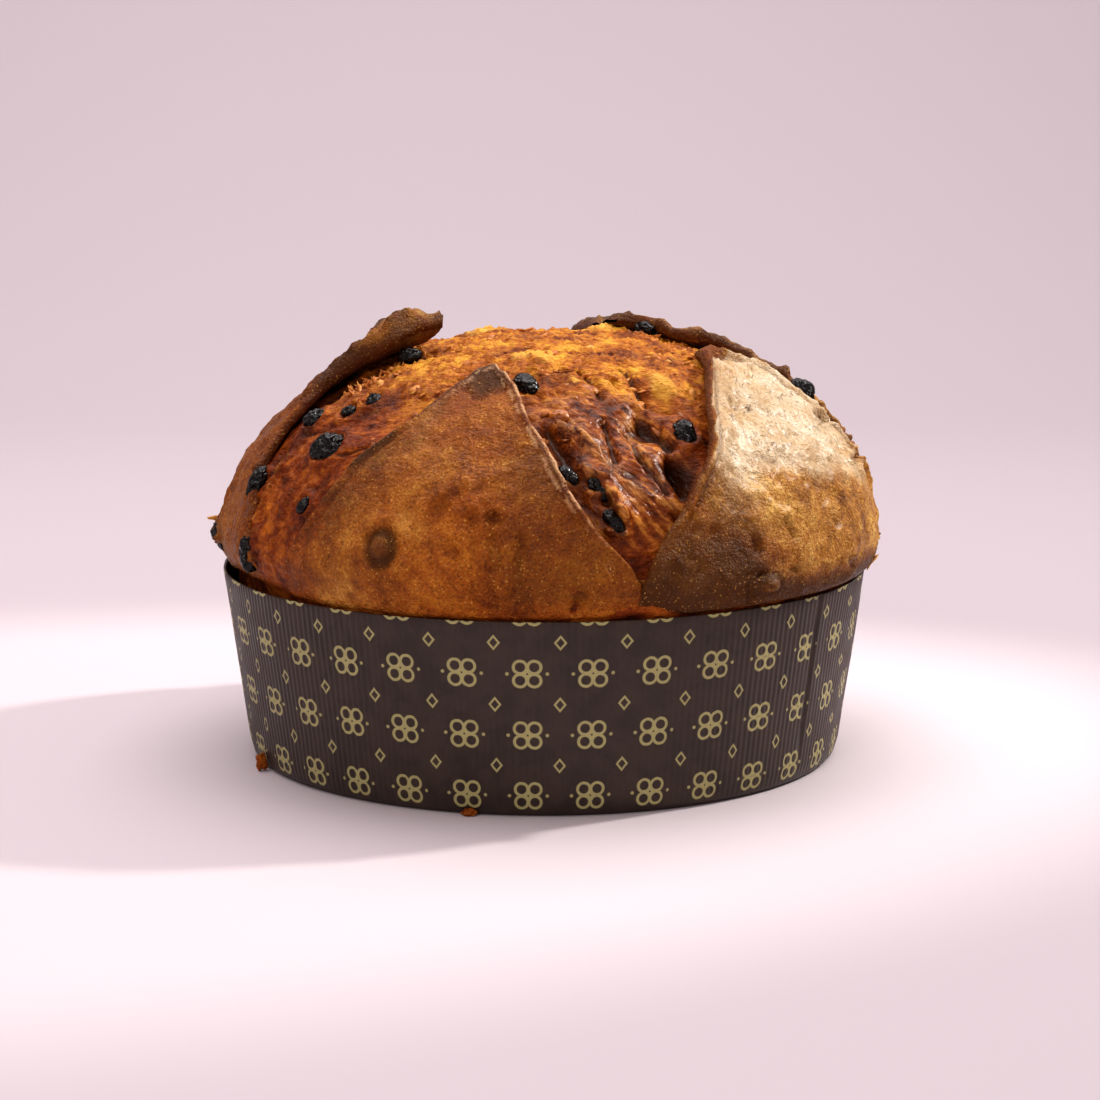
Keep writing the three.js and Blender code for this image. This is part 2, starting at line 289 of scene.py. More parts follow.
# %% [markdown]
# ## The loaf's own coordinates
# A place on the loaf is a direction round it, in degrees, and a level up the crust: -1 at the paper's rim,
# 0 at the widest place and 1 at the crown. The same named sizes drive the CAD model. NumPy works out all
# points at once.

# %% Sizes of the case and the loaf, in millimetres
RIM_RADIUS = 115
BASE_RADIUS = 105.7
CASE_HEIGHT = 67
PAPER = 1
FOOT_RADIUS = 3
CROWN_HEIGHT = 148.6
WAIST_HEIGHT = 80
LOAF_RADIUS = 116.8
WAIST_BULGE = 1.4
LEFT_SLOPE = 3
DOME_POWER = 2.2
PAPER_GAP = 0.5
OVER_RIM = 0.6

# The loaf isn't quite round. It leans to the right, bulges in one place, overhangs the paper in another and
# draws back from it in a third: direction, millimetres where there are any, and spread in degrees
RIGHT_LEAN = 1.2
BULGE = (-40, 0.8, 32)
OVERHANG = (-18, 52)
DRAWN_BACK = (-160, 5.5, 20)

# How long one level is over the skin: on the dome, under the waist and inside the paper
DOME_MM = 105
NECK_MM = 18
SUNK_MM = 40


def bell(x, width):
    return np.exp(-((np.asarray(x, float) / width) ** 2))


def smooth(x, low, high):
    share = np.clip((np.asarray(x, float) - low) / (high - low), 0, 1)
    return share * share * (3 - 2 * share)


def turn(start, end):
    """The shorter way round from one direction to another."""
    return (np.asarray(end, float) - start + 180) % 360 - 180


def along(pairs, where):
    """Values read off a short list of (where, value) pairs, a little rounded at its corners."""
    at, values = zip(*pairs)
    steps = (-0.04, -0.02, 0, 0.02, 0.04)
    return sum(np.interp(np.asarray(where) + step, at, values) for step in steps) / len(steps)


def wall(height):
    return BASE_RADIUS + (RIM_RADIUS - BASE_RADIUS) * height / CASE_HEIGHT


print("wall radius at half height", wall(CASE_HEIGHT / 2))

# %% [markdown]
# Before it was cut, the crust was one full dome. Its section is a superellipse, fuller than a circle, and
# under its waist it rolls in towards the paper, more on the right than on the left.

# %% The uncut crust


def neck_radius(direction):
    at, back, spread = DRAWN_BACK
    return RIM_RADIUS - PAPER - PAPER_GAP - back * bell(turn(at, direction), spread)


def skin(direction, level):
    """Points on the uncut crust: the dome, the part that rolls in under it, and what the paper holds."""
    direction = np.asarray(direction, float)
    level = np.asarray(level, float) + 0 * direction
    at, bulge, spread = BULGE
    bulged = bulge * bell(turn(at, direction), spread)
    widest = LOAF_RADIUS + RIGHT_LEAN * np.cos(np.radians(direction)) + bulged
    rise = np.clip(level, 0, 1) * np.pi / 2
    slope = LEFT_SLOPE * smooth(level, 0, 0.35) * bell(turn(180, direction), 60)
    upper = (widest - slope) * np.maximum(np.cos(rise), 0) ** (2 / DOME_POWER)
    upper = upper + WAIST_BULGE * bell(level, 0.07)
    upper_height = WAIST_HEIGHT + (CROWN_HEIGHT - WAIST_HEIGHT) * np.sin(rise) ** (2 / DOME_POWER)
    down = np.clip(-level, 0, 1)
    overhang = 0.15 + 0.85 * bell(turn(OVERHANG[0], direction), OVERHANG[1])
    share = (1 - down**1.6) * (1 - overhang) + np.sqrt(1 - down**2) * overhang
    neck = neck_radius(direction)
    lower = neck + (widest + WAIST_BULGE - neck) * share
    lower_height = WAIST_HEIGHT - (WAIST_HEIGHT - CASE_HEIGHT - OVER_RIM) * down
    sunk_height = CASE_HEIGHT + OVER_RIM + (level + 1) * SUNK_MM
    sunk = neck - wall(CASE_HEIGHT) + wall(sunk_height)
    radius = np.where(level >= 0, upper, np.where(level < -1, sunk, lower))
    height = np.where(level >= 0, upper_height, np.where(level < -1, sunk_height, lower_height))
    angle = np.radians(direction)
    return np.stack([radius * np.cos(angle), radius * np.sin(angle), height], -1)


def outward(direction, level):
    """The skin's unit normal."""
    tilt = skin(direction, level + 0.01) - skin(direction, level - 0.01)
    angle = np.radians(np.asarray(direction, float))
    side = np.stack([-np.sin(angle), np.cos(angle), 0 * angle], -1)
    normal = np.cross(side, tilt)
    length = np.linalg.norm(normal, axis=-1, keepdims=True)
    up = np.array([0.0, 0.0, 1.0])
    normal = np.where(length > 1e-6, normal / np.maximum(length, 1e-6), up)
    return np.where(np.asarray(level)[..., None] > 0.985, up, normal)


def place(direction, level, out):
    return skin(direction, level) + outward(direction, level) * np.asarray(out)[..., None]


def girth(level):
    """How wide the loaf still is at a level, as a share of its widest place."""
    return np.cos(np.clip(level, 0, 1) * np.pi / 2)


def between(direction, level, at, up):
    """Distance over the skin in millimetres, for soft lumps. It runs ahead under the waist."""
    across = np.radians(turn(direction, at)) * LOAF_RADIUS * girth(level)
    scale = np.where(np.minimum(level, up) < 0, SUNK_MM, DOME_MM)
    return np.hypot(across, (level - up) * scale)


print("waist", skin(0.0, 0.0).round(1), "crown", skin(0.0, 0.98).round(1))

# %% [markdown]
# Baked dough is never smooth. `grain` gives soft noise of a chosen size at every point, and stretching its
# axes turns the patches into strands or folds.

# %% Noise over points


def grain(points, size, octaves=3, stretch=(1, 1, 1), shift=0.0):
    scaled = points / (np.array(stretch) * size) + shift
    return np.array([noise.fractal(Vector(p), 1.0, 2.0, octaves) for p in scaled])


def ridges(points, size, octaves=3, stretch=(1, 1, 1), shift=0.0):
    """Sharp crests between soft hollows, from 0 to about 1."""
    return 1 - np.abs(grain(points, size, octaves, stretch, shift)) * 1.6


def pits(points, size, depth, shift=0.0):
    """Round holes of about size millimetres, as gas leaves them."""
    found = [noise.voronoi(Vector(p))[0][0] for p in points / size + shift]
    return depth * (1 - smooth(np.array(found), 0.12, 0.42))


print("noise at one point", grain(np.zeros((1, 3)) + 0.3, 7).round(3))

# %% [markdown]
# ## The flaps
# Each flap is a skin between two cut edges. An edge is a short list of (level, direction) pairs, and a
# second list says how far the edge curls off the loaf. The section across a flap is a closed loop: the
# crust outside, a round lip at each edge, and the underside, which shows where the flap stands off.

# %% The four flaps' edges
FLAPS = {
    "front_left": {
        "top": 0.685,
        "low": [(-1, -146), (0, -138), (0.18, -131), (0.32, -127.5), (0.44, -120.5), (0.56, -116),
                (0.685, -111)],
        "high": [(-1, -73.5), (0, -74.5), (0.05, -76.7), (0.13, -81), (0.24, -85.7), (0.39, -89.7),
                 (0.59, -96.5), (0.685, -106)],
        "lift_low": [(-1, -1.5), (0, -0.5), (0.3, 0.6), (0.6, 2.2)],
        "lift_high": [(-1, -2.5), (0, -0.8), (0.25, 1.6), (0.6, 3.2)],
        "edge": [(0, 2.4), (0.67, 3)],
        "roll": 16,
        "columns": 124,
    },
    "front_right": {
        "top": 0.7,
        "low": [(-1, -75.5), (0, -74), (0.09, -71.4), (0.18, -67), (0.35, -59), (0.515, -51.5),
                (0.62, -41), (0.7, -24)],
        "high": [(-1, -2), (0.16, -3), (0.4, -8), (0.6, -9), (0.7, -17)],
        "lift_low": [(-1, -2.5), (0, -0.5), (0.25, 2.6), (0.45, 4.2), (0.7, 4.6)],
        "lift_high": [(-1, -1), (0, 0), (0.4, 1), (0.55, 3.4), (0.7, 4.6)],
        "edge": [(0, 3.4), (0.66, 4.4)],
        "roll": 20,
        "columns": 124,
    },
    "back_right": {
        "top": 0.85,
        "low": [(-1, 4), (0.16, 3), (0.4, -2), (0.55, -2), (0.68, 4), (0.76, 9), (0.81, 22), (0.85, 40)],
        "high": [(-1, 103), (0, 102), (0.3, 95), (0.5, 90), (0.7, 80), (0.8, 68), (0.85, 53)],
        "lift_low": [(-1, -1), (0.2, 0.5), (0.42, 1.2), (0.52, 3), (0.6, 5), (0.66, 6.5),
                     (0.7, 8.5), (0.75, 4.5), (0.78, 7), (0.81, 11), (0.85, 6)],
        "lift_high": [(-1, -2), (0, 0.5), (0.4, 3), (0.7, 6), (0.85, 6)],
        "edge": [(0, 3), (0.5, 3.4), (0.85, 5.5)],
        "roll": 24,
        "columns": 140,
    },
    "back_left": {
        "top": 0.8,
        "low": [(-1, 112), (0, 113), (0.3, 119), (0.5, 130), (0.65, 150), (0.74, 176), (0.8, 202)],
        "high": [(-1, 213), (0, 212.5), (0.14, 210), (0.21, 205.5), (0.3, 203), (0.45, 201), (0.58, 200),
                 (0.67, 208), (0.75, 212), (0.8, 207)],
        "lift_low": [(-1, -2), (0, 0.3), (0.4, 3), (0.62, 9), (0.8, 16)],
        "lift_high": [(-1, -1), (0.3, 0.4), (0.45, 1.6), (0.56, 5), (0.63, 10), (0.69, 14.5),
                      (0.75, 17), (0.8, 15)],
        "edge": [(0, 2.8), (0.5, 3.6), (0.63, 8), (0.72, 12), (0.8, 14)],
        "roll": 38,
        "columns": 140,
    },
}

# Lumps under the crust: direction, level, height and spread
LUMPS = [
    (-117, 0.07, 1.6, 6.5),
    (-52, -0.33, 2.2, 7),
    (9, 0.06, 2, 7),
    (-172, -0.1, 2.4, 6),
    (-148, 0.02, 2, 6),
    (-103, 0.5, 1.2, 9),
    (-28, 0.02, 1, 16),
    (20, 0.1, 1, 14),
    (150, 0.12, 1.6, 12),
]


# Raisins and peel: direction, level, out, half sizes (round, up, out), turn
RAISINS = [
    (-136.7, 0.345, -1.2, (6.2, 6.2, 4.8), 0),
    (-153.5, 0.19, -0.8, (3.4, 6.4, 3.4), 6),
    (-150.5, 0.43, -1.6, (3.8, 4.6, 3.2), -30),
    (-140.5, 0.475, -2, (4, 3, 2.8), 20),
    (-137, 0.535, -2, (3.4, 3.4, 2.8), 0),
    (-135.3, 0.16, -1.2, (4.2, 2.8, 2.6), 50),
    (-149.5, -0.06, -1.2, (3.8, 6.4, 3.4), -8),
    (-172, -0.14, -1.4, (4.2, 5.2, 3.4), 0),
    (-95, 0.64, -1.6, (4, 7, 4), 25),
    (-85.5, 0.31, -3.6, (2.8, 4.4, 2.8), 35),
    (-80, 0.275, -5, (3, 5.4, 3.2), 35),
    (-78.2, 0.165, -4.4, (3, 5, 3), 35),
    (-58.5, 0.455, -5, (4.2, 5.4, 4), 0),
    (0, 0.46, 1.4, (6.4, 5, 4.2), 20),
    (-22.5, 0.755, -3.2, (4.6, 2.8, 2.8), 0),
    (0, 0.565, 0.6, (5.2, 3.8, 3.2), 0),
    (-149, 0.71, 1, (4.6, 4, 3.4), 30),
    (25, 0.8, 2.6, (5.4, 4.6, 3.6), 0),
    (106, 0.3, -3.6, (5, 6, 4), 15),
    (101, 0.52, -3.2, (5.4, 4.4, 3.8), -20),
    (109, 0.12, -3.4, (4, 5.6, 3.4), 0),
    (95, 0.7, -1.6, (4.8, 4.8, 3.8), 0),
]
PEELS = [
    (-79.5, 0.64, -3.2, (7, 4, 2.4), -20),
    (-86, 0.53, -3.6, (3.4, 3, 2), 0),
    (98, 0.4, -4.4, (6.5, 4, 2.4), 15),
]


# Places where a flap was pinched or torn: position, pull and reach in millimetres
PULLS = [
    ((-42, -20, 160), (0, 0.5, -4.2), 3.6),
    ((-36.5, -19, 159.5), (3.6, 0, 4.4), 3.0),
    ((-48.5, -20, 161), (-0.5, 0, 1.2), 5),
    ((-56, -27, 150), (1, -2, -1), 5),
    ((21, 8, 157), (0, -1, -1.4), 3.5),
    ((33, 12, 160), (0, 0, 1.0), 4),
    ((9, 33, 155), (1, 0, -6), 8),
    ((48, 14, 154), (0, 0, -3), 4.5),
    ((88, -6, 128), (-1, -1, -3.2), 5.5),
]


def swell(direction, level):
    total = 0.8 * np.sin(np.radians(3 * direction + 40)) * np.cos(level * 3)
    for at, up, height, spread in LUMPS:
        total = total + height * bell(between(direction, level, at, up), spread)
    return total


def collars(direction, level):
    """The dough that closed round each raisin."""
    total = 0
    for at, up, _, half, _ in RAISINS:
        away = between(direction, level, at, up) * 2 / (half[0] + half[1])
        total = total + 1.5 * bell(away - 1.1, 0.3)
    return total


def raisin_beds(direction, level):
    """Where the dough stands a little higher, so that a raisin is half buried in it."""
    total = 0
    for at, up, _, half, _ in RAISINS:
        total = total + bell(between(direction, level, at, up), half[0] + half[1])
    return total


print("flaps", list(FLAPS), "raisins", len(RAISINS), "peel", len(PEELS))

# %% [markdown]
# The loop runs across the outside from one edge to the other and back underneath. A grid gives the faces;
# the code only says where each of its points goes, and then sews the grid's two long sides together.

# %% Make a mesh from a grid of points


def sewn_grid(rows, columns):
    """A grid of points whose first and last columns will be sewn into a tube."""
    shell = bmesh.new()
    bmesh.ops.create_grid(shell, x_segments=columns, y_segments=rows - 1, size=0.5)
    shell.verts.ensure_lookup_table()
    spots = np.array([v.co for v in shell.verts])
    column = np.rint((spots[:, 0] + 0.5) * columns).astype(int)
    row = np.rint((spots[:, 1] + 0.5) * (rows - 1)).astype(int)
    return shell, row, column


def put(shell, points):
    for vert, point in zip(shell.verts, points):
        vert.co = point


def store(shell, name, values):
    layer = shell.verts.layers.float.new(name)
    for vert, value in zip(shell.verts, values):
        vert[layer] = float(value)


def sized(point, half):
    """A point of a unit ball, drawn out to three half sizes."""
    return Vector([axis * size for axis, size in zip(point, half)])


def join(shell, part):
    """Add one bmesh to another, free it, and return its points."""
    before = len(shell.verts)
    scrap = bpy.data.meshes.new("scrap")
    part.to_mesh(scrap)
    part.free()
    shell.from_mesh(scrap)
    bpy.data.meshes.remove(scrap)
    shell.verts.ensure_lookup_table()
    return shell.verts[before:]


def finish_mesh(shell, name):
    """Sew doubles, turn faces outwards, bring to metres and make the object."""
    bmesh.ops.remove_doubles(shell, verts=shell.verts, dist=0.002)
    bmesh.ops.recalc_face_normals(shell, faces=shell.faces)
    bmesh.ops.scale(shell, vec=(MM, MM, MM), verts=shell.verts)
    for face in shell.faces:
        face.smooth = True
    mesh = bpy.data.meshes.new(name)
    shell.to_mesh(mesh)
    shell.free()
    piece = bpy.data.objects.new(name, mesh)
    bpy.context.collection.objects.link(piece)
    return piece


# %% [markdown]
# A flap is a tongue of dough about ten millimetres thick that thins to a rounded lip. Solidify could
# thicken a sheet, but its lips would be square. So the section is worked out: half the thickness at each
# point follows a quarter circle close to the edge, and the outside and the underside lie that far above
# and below the flap's middle. Towards the edges the flap lifts off the loaf.

# %% The section across a flap
UNDERSIDE_COLUMNS = 44
# A flap's rows start inside the paper and crowd a little towards its tip
LOWEST_LEVEL = -1.25
SUNK_ROWS = 16
OPEN_ROWS = 92
TIP_CROWDING = 0.92
# Thickness away from the edges, and where it is reached
FLAP_MM = 10
THINS_WITHIN = (4, 30)


def flap_grid(flap):
    """The grid, with each point's level, its share of the way across and whether it is underneath."""
    outside = flap["columns"]
    columns = outside + UNDERSIDE_COLUMNS
    open_levels = np.linspace(0, 1, OPEN_ROWS)[1:] ** TIP_CROWDING * flap["top"]
    levels = np.concatenate([np.linspace(LOWEST_LEVEL, 0, SUNK_ROWS), open_levels])
    shell, row, column = sewn_grid(len(levels), columns)
    under = (column > outside) & (column < columns)
    share = np.where(column <= outside, column / outside, (columns - column) / UNDERSIDE_COLUMNS)
    return shell, levels[row], share, under


def torn_edge(name, flap, level, share):
    """How far the cut edges wander, in degrees, because dough tears and isn't cut clean."""
    seed = len(name) + flap["columns"] / 7
    steps, torn_by = (2, 1.0) if name.startswith("back") else (3, 0.8)
    spots = [Vector((7 * v, seed, s > 0.5)) for v, s in zip(level, share)]
    rag = np.array([noise.fractal(spot, 1, 2, steps) for spot in spots])
    return torn_by * rag * smooth(level, -0.05, 0.2)


def edge_distance(flap, level, low, high, across):
    """Distance over the skin from the flap's nearest edge, in millimetres."""
    width = np.radians(high - low) * np.linalg.norm(skin(low, level)[:, :2], axis=-1)
    return np.minimum(np.minimum(width * across, width * (1 - across)), (flap["top"] - level) * DOME_MM)


def flap_section(flap, level, across, to_edge):
    """The height of the flap's middle over the skin, and half its thickness."""
    near_low = 1 - smooth(across, 0.25, 0.75)
    lift = along(flap["lift_low"], level) * near_low + along(flap["lift_high"], level) * (1 - near_low)
    edge = along(flap["edge"], level)
    thick = edge + (FLAP_MM - edge) * smooth(to_edge, *THINS_WITHIN)
    nose = np.clip(to_edge / (thick / 2), 0.03, 1)
    half = thick / 2 * np.sqrt(1 - (1 - nose) ** 2)
    return lift * (1 - smooth(to_edge, 0, flap["roll"])) - thick / 2, half


print("flap thickness", FLAP_MM, "mm, rows", SUNK_ROWS + OPEN_ROWS - 1)

# %% Build one flap


def flap_piece(name, flap):
    shell, level, share, under = flap_grid(flap)
    # Points crowd towards both edges, where the lip is round
    crowded = 0.5 - 0.5 * np.cos(np.pi * share)
    across = np.where(under, crowded, crowded * 0.55 + share * 0.45)
    low = along(flap["low"], level)
    high = low + turn(low, along(flap["high"], level))
    inwards = np.where(across < 0.5, 1, -1) * bell(np.minimum(across, 1 - across), 0.06)
    direction = low + (high - low) * across + torn_edge(name, flap, level, share) * inwards
    to_edge = edge_distance(flap, level, low, high, across)
    middle, half = flap_section(flap, level, across, to_edge)
    # Lumps and relief fade where the paper holds the crust
    free = smooth(level, -1, -0.75)
    middle = middle + swell(direction, level) * smooth(to_edge, 0, 10) * free
    sunk = 3 * smooth(-level, 0.99, 1.1)
    base = skin(direction, level)
    relief = crust_relief(name, base, direction, level, to_edge) * free * np.where(under, 0.2, 1)
    out = middle + np.where(under, -half, half) - sunk + relief
    points = base + outward(direction, level) * out[:, None]
    for centre, pull, reach in PULLS:
        pinch = bell(np.linalg.norm(points - np.array(centre), axis=-1), reach)
        points = points + pinch[:, None] * np.array(pull)
    put(shell, points)
    store(shell, "underside", under * 1.0)
    for mask, values in crust_masks(name, direction, level, to_edge).items():
        store(shell, mask, values)
    ends = [e for e in shell.edges if e.is_boundary]
    bmesh.ops.holes_fill(shell, edges=ends, sides=flap["columns"] + UNDERSIDE_COLUMNS + 4)
    return shell


# %% [markdown]
# The crust's relief has three scales: slow swells, the wrinkles and creases that the photograph shows in
# set places, and blisters of a few millimetres. Finer grain than that is left to the material.

# %% Creases, a button and a knob

# Creases: start and end as (direction, level), depth and width in millimetres
CREASES = [
    ((-101.8, 0.163), (-100.7, 0.054), 1, 1.5),
    ((-98.3, 0.165), (-97.2, 0.026), 1.2, 1.4),
    ((-104.8, 0.092), (-103.9, -0.078), 0.9, 1.6),
    ((-93.7, 0.111), (-93.9, 0.008), 1, 1.5),
    ((-108, 0.2), (-104, 0.235), 0.9, 1.4),
    ((-109, 0.14), (-107, 0.19), 0.8, 1.6),
    ((-99.5, 0.2), (-97, 0.16), 0.8, 1.4),
    ((-85, -0.8), (-84, -0.3), 1.5, 1.2),
    ((-92, -0.8), (-92.5, -0.2), 1, 1.2),
    ((-55, -0.9), (-56, -0.3), 1.8, 1),
    ((-53.6, 0.08), (-53.4, -0.088), 1.1, 1),
    ((-46.5, 0.123), (-45, -0.176), 1.2, 0.9),
    ((-33, 0.123), (-33.1, -0.126), 1.1, 0.9),
    ((-15.1, 0.399), (10.4, 0.254), 2, 1),
    ((10.4, 0.254), (-16.4, 0.219), 2, 1),
    ((-44, 0.5), (-38, 0.48), 0.9, 1),
    ((-37, 0.52), (-24, 0.36), 0.9, 1.4),
    ((-60, 0.2), (-38, 0.16), 0.4, 1.8),
    ((35, -0.7), (38, 0.1), 1.4, 1.2),
    ((66, 0.15), (72, 0.4), 1, 1.4),
    ((88, -0.8), (86, -0.2), 1.4, 1.1),
    ((132, -0.7), (137, 0.1), 1.4, 1.2),
    ((158, 0.25), (150, 0.45), 1, 1.5),
    ((-176, -0.6), (-171, 0.05), 1.2, 1.2),
]
# The round dent in the front left flap, where a raisin lies just under the crust
BUTTON = (-116.8, 0.07)
# The round knob low on the front right flap, as a crease of almost no length
KNOB = ((-52.1, -0.36), (-51.9, -0.36))
print("creases", len(CREASES), "deepest", max(depth for _, _, depth, _ in CREASES), "mm")

# %% Relief of the crust


def line_distance(direction, level, start, end):
    """Distance over the skin from a straight crease, in millimetres."""
    x = np.radians(turn(start[0], direction)) * LOAF_RADIUS * girth(level)
    y = (level - start[1]) * np.where(np.minimum(level, start[1]) < 0, NECK_MM, DOME_MM)
    start_girth = math.cos(max(start[1], 0) * QUARTER_TURN)
    far_x = math.radians(float(turn(start[0], end[0]))) * LOAF_RADIUS * start_girth
    far_y = (end[1] - start[1]) * (NECK_MM if min(start[1], end[1]) < 0 else DOME_MM)
    share = np.clip((x * far_x + y * far_y) / (far_x**2 + far_y**2), 0, 1)
    return np.hypot(x - far_x * share, y - far_y * share)


def crookedness(base):
    """How far a crease strays from its straight line, in millimetres."""
    return 1.6 * grain(base, 7, 2, shift=51.0)


def crust_relief(name, base, direction, level, to_edge):
    rough = {"front_left": 1.0, "front_right": 1.8}.get(name, 2.0)
    total = 0.9 * grain(base, 26, 2) + 0.35 * rough * grain(base, 7, 3, shift=5.0)
    total = total + 0.17 * rough * grain(base, 2.6, 2, shift=9.0)
    # The left flap is smooth with a cap at its tip, the right one wrinkled and slanting, the ears crumpled
    if name == "front_left":
        total = total + 0.25 * (ridges(base, 8, 2, shift=12.0) - 0.7)
        total = total - pits(base, 5, -0.4, shift=4.0) * smooth(grain(base, 20, 1, shift=6.0), 0, 0.25)
        cap = between(direction, level, -105, 0.63)
        total = total + 1.1 * bell(cap, 5.5) - 0.6 * bell(cap - 8.5, 1.3)
    elif name == "front_right":
        x, y, z = base.T
        slanted = np.stack([x * 0.8 + z * 0.6, y, z * 0.8 - x * 0.6], -1)
        wrinkle = ridges(slanted, 5, 3, stretch=(1, 1.4, 2.6), shift=3.0)
        total = total + 0.9 * (wrinkle - 0.6) * smooth(level, 0.02, 0.3)
        total = total + 0.9 * (ridges(base, 15, 2, shift=7.0) - 0.6)
        total = total - pits(base, 4.4, -0.5, shift=8.0)
        knob = line_distance(direction, level, *KNOB)
        total = total + 1.8 * bell(knob, 3.2) - 1.2 * bell(knob - 5, 1.1)
    else:
        crumpled = smooth(level, 0.3, 0.6) * (0.55 if name == "back_right" else 1)
        total = total + (0.4 + 1.0 * crumpled) * (ridges(base, 11, 3, shift=1.0) - 0.6)
        total = total + 1.0 * crumpled * (ridges(base, 4.2, 3, stretch=(1.8, 1.8, 1), shift=2.0) - 0.6)
        strip = smooth(to_edge, 1, 4) * (1 - smooth(to_edge, 14, 26))
        total = total + 0.8 * crumpled * strip * np.sin(0.8 * to_edge + 3 * grain(base, 18, 2, shift=5.0))
    # A crease is a groove between two low banks, and the button a bump in a ring
    crooked = crookedness(base)
    for start, end, depth, width in CREASES:
        away = np.abs(line_distance(direction, level, start, end) + crooked)
        total = total - depth * (bell(away, width) - 0.45 * bell(away - 2.4 * width, width))
    button = between(direction, level, *BUTTON)
    total = total - 1.7 * bell(button - 5, 1.2) + 0.9 * bell(button, 2.6) + 0.7 * bell(button - 8.5, 2)
    # Along the cut the crust is rolled: a bead at the edge and a groove behind it
    rim = smooth(level, 0.03, 0.2)
    rolled = 1.1 if name == "front_right" else 0.45
    total = total - rolled * rim * bell(to_edge - 4.6, 1.2) + rolled * rim * bell(to_edge - 2, 1.3)
    return total + collars(direction, level)


print("from the button to the knob", between(*BUTTON, *KNOB[0]).round(), "mm")

# %% [markdown]
# Masks say where the crust is darker, redder or paler, so that the material can follow them. They are
# numbers on the mesh's points, worked out from the same directions and levels.

# %% Masks of the crust


